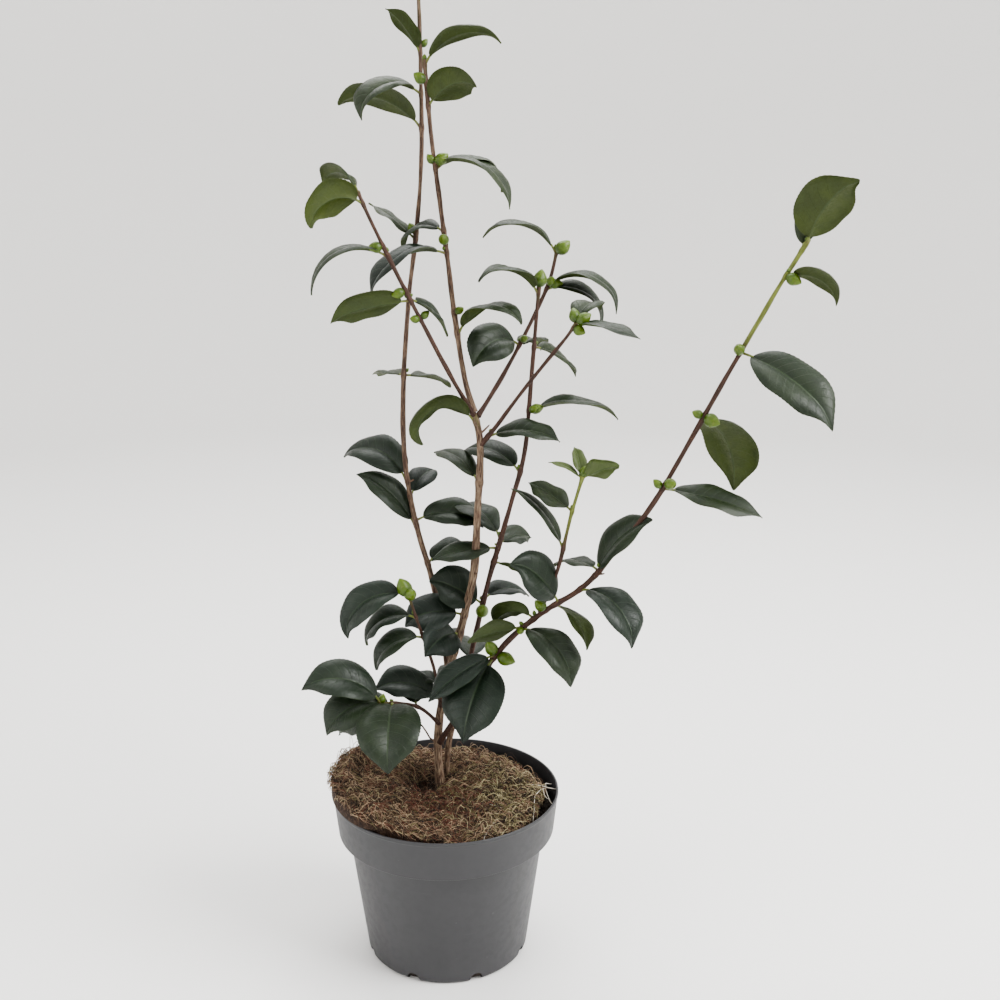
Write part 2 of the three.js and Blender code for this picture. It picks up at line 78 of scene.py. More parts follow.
# Each limb: its thickness at foot and tip in millimetres, its bark, and the few points it bends
# through. A point is (across, down, depth): its pixel in the photo, and how far it
# lies behind the pot's axis in millimetres, judged from what hides what.
LIMBS = {
    "main_stem": (8.6, 6.6, "bark", [
        (441, 798, 24), (438, 735, 24), (444, 692, 22), (473, 578, 18), (477, 520, 18), (480, 440, 20),
        (474, 412, 20)]),
    "second_stem": (6.4, 3.4, "dark_bark", [
        (446, 794, 34), (449, 742, 34), (463, 690, 34), (486, 590, 28), (512, 500, 22), (524, 455, 22),
        (532, 370, 28), (539, 285, 30)]),
    "tall_stem": (6, 3.2, "bark", [
        (449, 680, 25), (440, 615, 38), (430, 572, 44), (418, 532, 48), (406, 470, 50), (403, 400, 53),
        (409, 297, 54), (416, 235, 52), (421, 165, 48), (421, 80, 42), (416, -70, 33)]),
    "long_bough": (5.8, 3.6, "dark_bark", [
        (440, 742, 22), (462, 708, 4), (482, 674, -10), (512, 637, -22), (548, 609, -30), (583, 587, -36),
        (615, 552, -42), (652, 505, -48), (720, 388, -58), (777, 290, -60), (810, 238, -58)]),
    "leader": (5.2, 3.4, "bark", [
        (474, 412, 20), (465, 380, 22), (456, 325, 25), (443, 225, 25), (430, 125, 18), (424, 57, 12)]),
    "left_bough": (4.4, 3, "dark_bark", [
        (474, 415, 20), (457, 387, 8), (435, 347, -12), (400, 280, -34), (368, 215, -50), (357, 190, -54)]),
    "back_bough": (4.2, 3.2, "dark_bark", [
        (478, 416, 20), (487, 402, 28), (507, 368, 42), (527, 330, 55), (549, 282, 66), (557, 250, 70)]),
    "front_bough": (4, 3, "dark_bark", [
        (480, 446, 20), (498, 424, 8), (525, 388, -14), (568, 335, -40), (577, 322, -44)]),
    "upright_twig": (3.6, 3, "young_bark", [
        (540, 612, -28), (556, 575, -32), (572, 512, -48), (583, 475, -56)]),
    "low_twig": (3.4, 2.6, "dark_bark", [(441, 706, 20), (435, 672, 6), (417, 620, -14), (408, 595, -20)]),
    "low_spur": (3.4, 2.6, "dark_bark", [(439, 723, 22), (420, 708, 4), (400, 703, -14), (381, 704, -32)]),
}
FLARED = ("main_stem", "second_stem")

# Where along a limb its bark turns from brown to the green of this year's growth.
GREEN_FROM = {
    "long_bough": (490, 540),
    "upright_twig": (20, 150),
    "leader": (240, 420),
    "tall_stem": (560, 760),
}

# How pale a limb's bark is at its foot and further on, and the places between which it changes.
# Other limbs are dark.
PALENESS = {
    "main_stem": (1, 0.75, 0, 420),
    "second_stem": (1, 0, 90, 170),
    "tall_stem": (0.5, 0.4, 0, 300),
    "leader": (0.65, 0.3, 0, 200),
}

# The ways a leaf can stand: how far it points up where it leaves its limb, and how far it bends
# down on the way to its tip, in degrees.
POSES = {
    "erect": (75, 40),
    "upright": (65, 40),
    "overhanging": (65, 100),
    "rolled": (60, 170),
    "arching": (55, 75),
    "ascending": (40, 25),
    "curling": (35, 110),
    "spreading": (25, 60),
    "drooping": (20, 100),
    "level": (0, 25),
    "hanging": (-10, 45),
    "pendent": (-20, 60),
}

# How much a leaf strays from its pose as it grows: rise, droop, turn and twist, in degrees.
LEAF_STRAY = (2.5, 5, 7, 7)

# The least and most that a leaf's last part hooks down, in degrees, and the share of its length where
# that starts.
LEAF_HOOK = (0, 30)
HOOK_FROM = 0.7

# Each mass of leaves: its limb, its depth of colour, and its leaves as (place along the limb,
# heading, pose, length, width, lean). Heading 0 is to the right and 90 to the back.
# Colour runs from 0, blue-green, to 1, olive green; it is partly the leaves' own green and partly
# painted light coming through the higher, backlit leaves.
MASSES = {
    "foliage_tall_tip": ("tall_stem", 0.9, [
        (655, 75, "arching", 65, 30, 0), (685, 15, "arching", 60, 28, 15),
        (690, 150, "arching", 62, 28, -15), (690, 270, "upright", 52, 24, 0)]),
    "foliage_tall_top": ("tall_stem", 0.8, [
        (540, 180, "arching", 88, 42, 30), (570, 210, "curling", 80, 40, -15),
        (605, 210, "upright", 50, 24, 15)]),
    "foliage_tall_high": ("tall_stem", 0.6, [(440, 165, "ascending", 56, 26, 0)]),
    "foliage_tall_pair": ("tall_stem", 0.6, [(310, 120, "level", 62, 30, 0), (310, 30, "level", 56, 28, 0)]),
    "foliage_tall_left": ("tall_stem", 0.3, [
        (190, 60, "arching", 55, 27, 15), (205, 150, "overhanging", 92, 42, -30)]),
    "foliage_tall_low": ("tall_stem", 0.35, [
        (120, 30, "arching", 50, 30, 15), (165, 0, "spreading", 72, 38, 30),
        (160, 180, "upright", 80, 38, -30)]),
    "foliage_leader_tip": ("leader", 0.8, [
        (280, 330, "arching", 60, 36, -45), (315, 345, "overhanging", 82, 30, -15)]),
    "foliage_leader_high": ("leader", 0.5, [
        (225, 15, "curling", 80, 34, 0), (230, 345, "drooping", 92, 42, 0)]),
    "foliage_leader_middle": ("leader", 0.4, [
        (150, 210, "drooping", 95, 44, 0), (170, 150, "curling", 58, 30, -15)]),
    "foliage_leader_low": ("leader", 0.6, [(75, 330, "overhanging", 88, 36, 0)]),
    "foliage_left_tip": ("left_bough", 0.9, [
        (230, 210, "curling", 62, 38, 60), (240, 135, "overhanging", 60, 28, 30)]),
    "foliage_left_low": ("left_bough", 0.7, [
        (135, 45, "hanging", 58, 30, 30), (135, 195, "level", 74, 40, 45),
        (180, 195, "curling", 90, 38, 0)]),
    "foliage_back_tip": ("back_bough", 0.5, [
        (140, 0, "drooping", 76, 34, 15), (145, 345, "curling", 88, 36, 0),
        (175, 180, "overhanging", 85, 36, 0)]),
    "foliage_back_low": ("back_bough", 0.5, [
        (80, 60, "spreading", 58, 28, 0), (80, 225, "curling", 70, 42, -45)]),
    "foliage_front_tip": ("front_bough", 0.6, [
        (165, 330, "level", 62, 32, 0), (165, 60, "overhanging", 50, 28, 0)]),
    "foliage_front_low": ("front_bough", 0.3, [(15, 345, "spreading", 72, 38, 15)]),
    "foliage_second_tip": ("second_stem", 0.5, [(525, 210, "overhanging", 74, 34, 0)]),
    "foliage_second_high": ("second_stem", 0.7, [(475, 45, "hanging", 74, 34, 30)]),
    "foliage_second_middle": ("second_stem", 0.5, [(415, 0, "spreading", 90, 40, 0)]),
    "foliage_second_low": ("second_stem", 0.3, [(355, 150, "arching", 72, 36, -15)]),
    "foliage_second_inner": ("second_stem", 0.3, [
        (260, 15, "hanging", 44, 26, -15), (275, 195, "level", 66, 34, -15),
        (280, 45, "spreading", 42, 28, 30), (285, 135, "overhanging", 76, 38, 0)]),
    "foliage_second_foot": ("second_stem", 0.2, [
        (150, 90, "spreading", 75, 36, 0), (215, 195, "ascending", 60, 44, -60),
        (220, 45, "spreading", 60, 30, 15)]),
    "foliage_main_fork": ("main_stem", 0.7, [(400, 195, "rolled", 88, 44, 30)]),
    "foliage_main_middle": ("main_stem", 0.4, [(340, 135, "arching", 68, 33, 0)]),
    "foliage_main_low": ("main_stem", 0.1, [
        (165, 105, "spreading", 70, 34, 0), (185, 240, "spreading", 58, 40, -45),
        (205, 195, "spreading", 62, 48, -30)]),
    "foliage_main_foot": ("main_stem", 0.2, [
        (110, 195, "arching", 75, 42, -30), (120, 75, "spreading", 75, 36, 0),
        (125, 150, "spreading", 56, 28, 0)]),
    "foliage_long_tip": ("long_bough", 1.0, [
        (580, 345, "drooping", 58, 34, -30), (605, 60, "erect", 58, 24, 0),
        (610, 315, "erect", 74, 50, -45)]),
    "foliage_long_high": ("long_bough", 0.35, [(505, 315, "hanging", 112, 48, 30)]),
    "foliage_long_middle": ("long_bough", 0.9, [(440, 45, "pendent", 100, 62, 0)]),
    "foliage_long_outer": ("long_bough", 0.5, [(365, 345, "level", 92, 40, 15)]),
    "foliage_long_inner": ("long_bough", 0.3, [
        (265, 135, "spreading", 58, 28, 0), (260, 345, "erect", 80, 42, 30)]),
    "foliage_long_lower": ("long_bough", 0.25, [
        (215, 210, "upright", 70, 46, -60), (210, 45, "pendent", 78, 32, 0),
        (240, 315, "drooping", 90, 46, 0)]),
    "foliage_long_near": ("long_bough", 0.4, [
        (170, 195, "level", 54, 32, 60), (170, 315, "drooping", 88, 44, 0),
        (185, 165, "curling", 46, 34, 45)]),
    "foliage_long_foot": ("long_bough", 0.0, [
        (125, 240, "pendent", 90, 66, 0), (130, 210, "hanging", 80, 36, -15)]),
    "foliage_twig_tip": ("upright_twig", 1.0, [
        (110, 150, "ascending", 50, 30, -15), (145, 105, "upright", 32, 14, 0),
        (145, 345, "ascending", 36, 32, -45), (145, 165, "ascending", 34, 15, 0)]),
    "foliage_twig_foot": ("upright_twig", 0.4, [(70, 165, "erect", 76, 32, 0)]),
    "foliage_low_tip": ("low_twig", 0.3, [
        (115, 180, "drooping", 66, 36, -15), (145, 180, "drooping", 86, 42, -30)]),
    "foliage_low_foot": ("low_twig", 0.3, [(90, 195, "drooping", 64, 36, -15)]),
    "foliage_low_spur": ("low_spur", 0.35, [
        (40, 105, "spreading", 60, 28, 0), (70, 165, "hanging", 78, 44, -45),
        (75, 270, "drooping", 94, 62, 0), (85, 210, "drooping", 72, 46, -30),
        (90, 195, "overhanging", 90, 46, -30)]),
}

# Each flower bud, in the axil of a leaf or at a tip: its limb, its place, heading, rise and length.
BUDS = [
    ("tall_stem", 700, 60, 75, 10), ("tall_stem", 610, 10, 50, 9), ("tall_stem", 445, 170, 60, 11),
    ("leader", 300, 205, 35, 13), ("leader", 230, 200, 55, 10), ("leader", 230, 320, 50, 9),
    ("leader", 230, 350, 35, 14), ("leader", 160, 260, 30, 14), ("leader", 95, 330, 30, 10),
    ("left_bough", 190, 190, -5, 13), ("left_bough", 145, 205, -15, 13), ("left_bough", 115, 20, 40, 10),
    ("left_bough", 115, 215, 10, 10), ("back_bough", 175, 350, 45, 17), ("back_bough", 145, 300, 40, 11),
    ("back_bough", 145, 345, 5, 14), ("back_bough", 85, 300, 30, 10), ("front_bough", 165, 110, 60, 14),
    ("front_bough", 165, 350, 35, 15), ("front_bough", 160, 330, -20, 12), ("second_stem", 530, 20, 80, 17),
    ("second_stem", 415, 320, 25, 10), ("second_stem", 415, 350, 20, 14), ("second_stem", 205, 285, 35, 17),
    ("low_twig", 140, 205, 65, 20), ("low_twig", 140, 290, 30, 16), ("long_bough", 200, 200, 45, 14),
    ("long_bough", 170, 250, -10, 9), ("long_bough", 130, 215, 60, 17), ("long_bough", 130, 335, -10, 19),
    ("long_bough", 115, 250, -20, 14), ("long_bough", 365, 190, 45, 11), ("long_bough", 370, 300, 15, 14),
    ("long_bough", 440, 195, 25, 11), ("long_bough", 440, 320, -15, 16), ("long_bough", 505, 250, 30, 14),
    ("long_bough", 580, 320, -20, 15), ("upright_twig", 145, 20, 75, 11), ("low_spur", 90, 70, 50, 10),
]

# Short dead shoots and stubs: the limb, place, heading, rise, length and thickness of each.
STUBS = [
    ("long_bough", 262, 315, 20, 9, 2.4), ("main_stem", 388, 20, 35, 11, 2.2),
    ("second_stem", 120, 200, 20, 8, 2.2), ("main_stem", 62, 150, 30, 46, 1.9),
    ("tall_stem", 205, 330, 25, 7, 2.4), ("main_stem", 250, 300, 15, 6, 2.6),
]

# White threads that lie over the mat's right-hand edge. A point is its pixel in the photo, and its
# height above the mat in millimetres.
THREADS = [
    [(523, 789, 2), (537, 788, 2), (545, 788, 4), (558, 787, 8)],
    [(544, 789, 3), (536, 796, 3), (534, 809, 2), (533, 820, 1)],
    [(545, 789, 3), (549, 797, 3), (554, 805, 6)],
    [(543, 790, 3), (545, 795, 4), (548, 798, 2)],
    [(546, 787, 3), (546, 783, 4), (552, 782, 3)],
    [(483, 809, 2), (497, 810, 3), (505, 815, 1)],
    [(497, 821, 2), (490, 831, 3), (483, 841, 2)],
]

# The way a leaf is made: its rows and columns, the share that is stalk, the run of its outline, and
# how far apart its side veins are.
LEAF_TEETH = 24
ROWS_PER_TOOTH = 3
STALK_SHARE = 0.1
BLADE_COLUMNS = (-1, -0.8, -0.55, -0.3, -0.07, 0, 0.07, 0.3, 0.55, 0.8, 1)
BROADEST = 0.86
FULLNESS = 0.63
TIP_FROM = 0.7
TIP_DRAW = 0.5
LEAST_HALF_WIDTH = 0.35
FOOT_HALF_WIDTH = 1.1
VEIN_PITCH = 9.5

# Leaves shorter than this are this year's, and paler.
YOUNG_LENGTH = 40

# How strongly a leaf's skin reflects, as the shader's specular level.
LEAF_SHEEN = 0.38


class PotSettings(bpy.types.PropertyGroup):
    """Sizes and colour of the pot."""
    height: FloatProperty(
        name="Height", description="From the foot to the rim", default=0.171, unit="LENGTH")
    rim_radius: FloatProperty(
        name="Rim radius", description="Outside radius of the rim", default=0.1125, unit="LENGTH")
    collar: FloatProperty(
        name="Collar", description="Height of the wide band under the rim", default=0.041, unit="LENGTH")
    collar_foot: FloatProperty(
        name="Collar foot", description="Radius at the collar's lower edge", default=0.108, unit="LENGTH")
    body_radius: FloatProperty(
        name="Body radius", description="Radius just under the collar", default=0.098, unit="LENGTH")
    foot_radius: FloatProperty(
        name="Foot radius", description="Radius of the flat foot", default=0.081, unit="LENGTH")
    wall: FloatProperty(name="Wall", description="Thickness of the plastic", default=0.002, unit="LENGTH")
    sides: IntProperty(name="Sides", description="Facets round the pot", default=168)
    colour: FloatVectorProperty(
        name="Plastic", description="Colour of the plastic", default=(0.036, 0.036, 0.039), subtype="COLOR")
    worn: FloatVectorProperty(
        name="Scuffs", description="Colour of scuffs and dust", default=(0.08, 0.08, 0.083), subtype="COLOR")


class MatSettings(bpy.types.PropertyGroup):
    """Sizes and colours of the soil and the coconut-fibre mat."""
    soil_top: FloatProperty(name="Soil level", description="Height of the soil", default=0.15, unit="LENGTH")
    crown: FloatProperty(
        name="Crown", description="Height of the mat in the middle", default=0.172, unit="LENGTH")
    edge: FloatProperty(
        name="Edge", description="Height of the mat at its edge", default=0.163, unit="LENGTH")
    radius: FloatProperty(name="Radius", description="Mean radius of the mat", default=0.1, unit="LENGTH")
    lift: FloatProperty(
        name="Lift", description="How much higher its left edge is", default=0.022, unit="LENGTH")
    fibres: IntProperty(name="Fibres", description="How many fibres show", default=16000)
    fibre_length: FloatProperty(
        name="Fibre length", description="Mean length of a fibre", default=0.017, unit="LENGTH")
    fibre_radius: FloatProperty(
        name="Fibre radius", description="Mean radius of a fibre", default=0.0003, unit="LENGTH")
    soil_colour: FloatVectorProperty(
        name="Soil", description="Colour of the moist peat", default=(0.016, 0.011, 0.008), subtype="COLOR")
    # Painted shade: the dark colour of the mat's depth under its fibres, where shade falls between them.
    depth_shade_colour: FloatVectorProperty(
        name="Depth of the mat", description="Colour deep in the mat", default=(0.03, 0.015, 0.009),
        subtype="COLOR")


class LimbSettings(bpy.types.PropertyGroup):
    """Relief and colours of the bark."""
    step: FloatProperty(
        name="Step", description="Length of a step along a limb", default=0.0016, unit="LENGTH")
    sides: IntProperty(name="Sides", description="Facets round a limb", default=22)
    relief: FloatProperty(
        name="Relief", description="Depth of the bark's ridges", default=0.00024, unit="LENGTH")
    knot: FloatProperty(name="Knot", description="How far a joint stands out", default=0.0006, unit="LENGTH")
    light: FloatVectorProperty(
        name="Light bark", description="Ridges of pale bark", default=(0.33, 0.245, 0.165), subtype="COLOR")
    streak: FloatVectorProperty(
        name="Streaks", description="Dark streaks in pale bark", default=(0.1, 0.055, 0.035),
        subtype="COLOR")
    dark: FloatVectorProperty(
        name="Dark bark", description="Ridges of dark bark", default=(0.078, 0.034, 0.021), subtype="COLOR")
    furrow: FloatVectorProperty(
        name="Furrows", description="Hollows of the bark", default=(0.035, 0.015, 0.009), subtype="COLOR")
    green: FloatVectorProperty(
        name="Green bark", description="This year's growth", default=(0.15, 0.175, 0.03), subtype="COLOR")


class LeafSettings(bpy.types.PropertyGroup):
    """Shape and colours of the leaves."""
    thickness: FloatProperty(name="Thickness", description="Of the blade", default=0.00045, unit="LENGTH")
    serration: FloatProperty(
        name="Serration", description="Depth of the teeth", default=0.00045, unit="LENGTH")
    fold: FloatProperty(name="Fold", description="Rise of the blade from its midrib", default=0.24)
    cup: FloatProperty(name="Cup", description="How round each half of the blade is", default=0.16)
    wave: FloatProperty(
        name="Wave", description="Height of the margin's waves", default=0.0012, unit="LENGTH")
    gloss: FloatProperty(name="Roughness", description="Roughness of the upper face", default=0.4)
    blue_green: FloatVectorProperty(
        name="Blue-green", description="Upper face of the lower leaves", default=(0.0065, 0.0145, 0.009),
        subtype="COLOR")
    # Painted light: the olive of the higher leaves is partly light coming through them.
    olive: FloatVectorProperty(
        name="Olive green", description="Upper face of the higher leaves", default=(0.022, 0.034, 0.006),
        subtype="COLOR")
    rib: FloatVectorProperty(
        name="Ribs", description="Midrib and veins", default=(0.055, 0.08, 0.04), subtype="COLOR")
    under: FloatVectorProperty(
        name="Under face", description="Under face of a leaf", default=(0.027, 0.042, 0.007),
        subtype="COLOR")
    # Painted light: the bright under face stands for light coming through the higher, backlit leaves.
    under_lit_through: FloatVectorProperty(
        name="Bright under face", description="Under face of the higher leaves",
        default=(0.043, 0.06, 0.006), subtype="COLOR")
    young: FloatVectorProperty(
        name="Young leaf", description="Both faces of a new leaf", default=(0.06, 0.085, 0.02),
        subtype="COLOR")
    stalk: FloatVectorProperty(
        name="Stalk", description="Leaf stalks", default=(0.12, 0.15, 0.03), subtype="COLOR")
    stalk_foot: FloatVectorProperty(
        name="Stalk's foot", description="Leaf stalks at the limb", default=(0.09, 0.06, 0.02),
        subtype="COLOR")


class BudSettings(bpy.types.PropertyGroup):
    """Shape and colours of the flower buds."""
    plumpness: FloatProperty(name="Plumpness", description="Width of a bud against its length", default=0.7)
    scales: IntProperty(name="Scales", description="Scales round a bud", default=7)
    foot_colour: FloatVectorProperty(
        name="Foot", description="Colour at a bud's foot", default=(0.022, 0.05, 0.003), subtype="COLOR")
    tip_colour: FloatVectorProperty(
        name="Tip", description="Colour towards a bud's tip", default=(0.105, 0.17, 0.004), subtype="COLOR")
    edge_colour: FloatVectorProperty(
        name="Scale edge", description="Thin edge of each scale", default=(0.2, 0.16, 0.05), subtype="COLOR")


class StageSettings(bpy.types.PropertyGroup):
    """Floor, light and camera."""
    floor: FloatVectorProperty(
        name="Floor", description="Colour of floor and backdrop", default=(0.88, 0.875, 0.865),
        subtype="COLOR")
    key: FloatProperty(name="Key light", description="Power of the large light", default=72, unit="POWER")
    fill: FloatProperty(name="Fill light", description="Power of the fill light", default=20, unit="POWER")
    top: FloatProperty(name="Top light", description="Power of the overhead light", default=36, unit="POWER")
    sky: FloatProperty(name="Sky", description="Strength of the light from all round", default=1.0)


def unit(vectors):
    return vectors / np.maximum(np.linalg.norm(vectors, axis=-1, keepdims=True), 1e-12)


def smooth(low, high, value):
    share = np.clip((value - low) / (high - low), 0, 1)
    return share * share * (3 - 2 * share)


def line_of_sight(across, down):
    """The direction in which the camera sees a pixel of the photo."""
    pitch = math.radians(CAMERA_PITCH)
    right, up = (across - PHOTO_SIZE / 2) / FOCAL, (PHOTO_SIZE / 2 - down) / FOCAL
    return np.array([right, math.cos(pitch) + up * math.sin(pitch), up * math.cos(pitch) - math.sin(pitch)])


def at_depth(across, down, depth):
    """The place in millimetres of a pixel of the photo, at a depth behind the pot's axis."""
    direction = line_of_sight(across, down)
    return np.array(CAMERA_PLACE) + direction * (depth - CAMERA_PLACE[1]) / direction[1]


def at_height(across, down, height):
    """The place in millimetres of a pixel of the photo, at a height above the pot's foot."""
    direction = line_of_sight(across, down)
    return np.array(CAMERA_PLACE) + direction * (height - CAMERA_PLACE[2]) / direction[2]


def towards(heading, rise):
    """A unit direction from its heading and rise in degrees."""
    yaw, pitch = math.radians(heading), math.radians(rise)
    return np.array([math.cos(pitch) * math.cos(yaw), math.cos(pitch) * math.sin(yaw), math.sin(pitch)])


def turned_about(vector, axis, angle):
    """A vector turned about a unit axis, row by row."""
    across = np.cross(axis, vector)
    along = axis * (axis * vector).sum(-1, keepdims=True)
    return vector * np.cos(angle) + across * np.sin(angle) + along * (1 - np.cos(angle))


def smooth_line(route, steps=30):
    """The centripetal spline through a route that the CAD limbs follow too."""
    points = [np.array(point, float) for point in route]
    points = [2 * points[0] - points[1], *points, 2 * points[-1] - points[-2]]
    share = np.linspace(0, 1, steps, endpoint=False)[:, None]
    line = []
    for p0, p1, p2, p3 in zip(points, points[1:], points[2:], points[3:]):
        d0, d1, d2 = (max(np.linalg.norm(b - a), 1e-9) ** 0.5 for a, b in ((p0, p1), (p1, p2), (p2, p3)))
        leave = ((p1 - p0) / d0 - (p2 - p0) / (d0 + d1) + (p2 - p1) / d1) * d1
        reach = ((p2 - p1) / d1 - (p3 - p1) / (d1 + d2) + (p3 - p2) / d2) * d1
        square, cube = 3 * (p2 - p1) - 2 * leave - reach, 2 * (p1 - p2) + leave + reach
        line.append(p1 + leave * share + square * share ** 2 + cube * share ** 3)
    return np.vstack([*line, points[-2]])


def even_steps(line, step):
    """A line's points at even steps, and their distances along it."""
    run = np.concatenate([[0], np.cumsum(np.linalg.norm(np.diff(line, axis=0), axis=1))])
    places = np.linspace(0, run[-1], max(3, math.ceil(run[-1] / step)) + 1)
    return places, np.stack([np.interp(places, run, line[:, axis]) for axis in range(3)], 1)


def side_directions(points):
    """Directions along, and two across, that turn as little as they can along a line."""
    along = unit(np.gradient(points, axis=0))
    side = np.cross(along[0], ODD_DIRECTION)
    first = []
    for direction in along:
        side = unit(side - direction * (side @ direction))
        first.append(side)
    first = np.array(first)
    return along, first, np.cross(along, first)


def tube(points, radii, sides):
    """A tube's grid of points round a line. radii has a value for each ring, or for each point of it."""
    _, first, second = side_directions(points)
    angle = np.linspace(0, 2 * np.pi, sides, endpoint=False)[None, :, None]
    ring = first[:, None] * np.cos(angle) + second[:, None] * np.sin(angle)
    radii = np.broadcast_to(np.reshape(radii, (len(points), -1)), (len(points), sides))
    return points[:, None] + ring * radii[..., None]


def rooms(count):
    """Equal rooms on the bake map, each (left, bottom, right, top)."""
    columns = max(1, round(math.sqrt(count)))
    rows = math.ceil(count / columns)
    found = []
    for number in range(count):
        row, column = divmod(number, columns)
        left, bottom = (column + ROOM_MARGIN) / columns, (row + ROOM_MARGIN) / rows
        found.append((left, bottom, left + (1 - 2 * ROOM_MARGIN) / columns,
                      bottom + (1 - 2 * ROOM_MARGIN) / rows))
    return found


class MeshMaker:
    """Gathers grids of points in millimetres and makes one mesh of them."""

    def __init__(self, **marks):
        self.sizes = marks
        self.points = []
        self.faces = []
        self.marks = {name: [] for name in marks}
        self.count = 0

    def add(self, points, faces, places, finish, marks):
        """Adds points with their faces. places holds each face's corners on the bake map."""
        self.points.append(points)
        self.faces += [(block + self.count, spots, finish) for block, spots in zip(faces, places)]
        self.count += len(points)
        for name, size in self.sizes.items():
            shape = (len(points), size) if size > 1 else (len(points),)
            self.marks[name].append(np.broadcast_to(marks[name], shape))

    def grid(self, points, finish=0, closed=False, flip=False, ends=False, room=(0, 0, 1, 1), strips=1,
             **marks):
        """Adds a grid. Its faces look to the side where columns cross rows, or with flip the other.
        closed joins the last column to the first, and ends closes the first and last rows with a face."""
        rows, columns = points.shape[:2]
        number = np.arange(rows * columns).reshape(rows, columns)
        if closed:
            number = np.concatenate([number, number[:, :1]], 1)
        corners = np.stack([number[:-1, :-1], number[:-1, 1:], number[1:, 1:], number[1:, :-1]], -1)
        across = number.shape[1] - 1
        column, row = np.meshgrid(np.arange(across), np.arange(rows - 1))
        in_strip = math.ceil((rows - 1) / strips)
        strip = row // in_strip
        gap = STRIP_GAP / strips
        left = strip / strips + gap / 2
        u = [left + (column + k) / across * (1 / strips - gap) for k in (0, 1, 1, 0)]
        v = [(row % in_strip + k) / in_strip for k in (0, 0, 1, 1)]
        u = room[0] + np.stack(u, -1) * (room[2] - room[0])
        v = room[1] + np.stack(v, -1) * (room[3] - room[1])
        quads, spots = corners.reshape(-1, 4), np.stack([u, v], -1).reshape(-1, 4, 2)
        faces, places = [quads], [spots]
        if ends:
            faces += [number[:1, :columns][:, ::-1], number[-1:, :columns]]
            places += [np.broadcast_to(corner, (1, columns, 2)) for corner in (room[:2], room[2:])]
        if flip:
            faces = [block[:, ::-1] for block in faces]
            places = [block[:, ::-1] for block in places]
        shaped = {}
        for name, value in marks.items():
            value = np.asarray(value, float)
            if value.ndim >= 2 and value.shape[:2] == (rows, columns):
                value = value.reshape(rows * columns, *value.shape[2:])
            shaped[name] = value
        self.add(points.reshape(-1, 3), faces, places, finish, shaped)

    def mesh(self, name, mapped=True):
        """The mesh in metres, smooth, with its bake map when mapped is true."""
        mesh = bpy.data.meshes.new(name)
        points = np.concatenate(self.points) * MM
        mesh.vertices.add(len(points))
        mesh.vertices.foreach_set("co", points.astype(np.float32).ravel())
        corners = np.concatenate([block.ravel() for block, _, _ in self.faces])
        sizes = np.concatenate([np.full(len(block), block.shape[1]) for block, _, _ in self.faces])
        finishes = np.concatenate([np.full(len(block), finish) for block, _, finish in self.faces])
        mesh.loops.add(len(corners))
        mesh.loops.foreach_set("vertex_index", corners.astype(np.int32))
        mesh.polygons.add(len(sizes))
        mesh.polygons.foreach_set("loop_start", (np.cumsum(sizes) - sizes).astype(np.int32))
        mesh.polygons.foreach_set("material_index", finishes.astype(np.int32))
        mesh.polygons.foreach_set("use_smooth", np.ones(len(sizes), bool))
        mesh.update(calc_edges=True)
        if mapped:
            spots = np.concatenate([np.asarray(block, float).reshape(-1, 2) for _, block, _ in self.faces])
            mesh.uv_layers.new(name=BAKE_MAP).uv.foreach_set("vector", spots.astype(np.float32).ravel())
        for mark, values in self.marks.items():
            size = self.sizes[mark]
            kind, field = ("FLOAT_VECTOR", "vector") if size > 1 else ("FLOAT", "value")
            data = mesh.attributes.new(mark, kind, "POINT").data
            data.foreach_set(field, np.concatenate(values).astype(np.float32).ravel())
        mesh.validate()
        return mesh


def add_piece(name, mesh, finishes, nodes=()):
    """Puts a mesh in the scene as a piece of the shrub, in the place of CAD nodes."""
    piece = bpy.data.objects.new(name, mesh)
    bpy.context.scene.collection.objects.link(piece)
    for finish in finishes:
        mesh.materials.append(finish)
    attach(piece, BODY)
    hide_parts(*nodes)
    return piece


class Limb:
    """A limb's middle line at even steps, with its direction and radius."""

    def __init__(self, name, step):
        foot, tip, self.bark, route = LIMBS[name]
        self.name = name
        self.places, self.points = even_steps(smooth_line([at_depth(*spot) for spot in route]), step)
        self.length = self.places[-1]
        self.along = unit(np.gradient(self.points, axis=0))
        self.radii = np.linspace(foot, tip, len(self.places)) / 2

    def at(self, place):
        """The middle point, direction and radius at a place along the limb."""
        number = int(round(np.clip(place / self.length, 0, 1) * (len(self.places) - 1)))
        return self.points[number], self.along[number], self.radii[number]

    def bark_at(self, place, direction, depth):
        """A point depth under the bark on the side that a direction looks to."""
        point, along, radius = self.at(place)
        outwards = direction - along * (direction @ along)
        if np.linalg.norm(outwards) < HEAD_ON:
            return point + along * (radius - depth)
        return point + unit(outwards) * (radius - depth)


def all_limbs(step=1.0):
    """Every limb by name, in steps of so many millimetres."""
    return {name: Limb(name, step) for name in LIMBS}


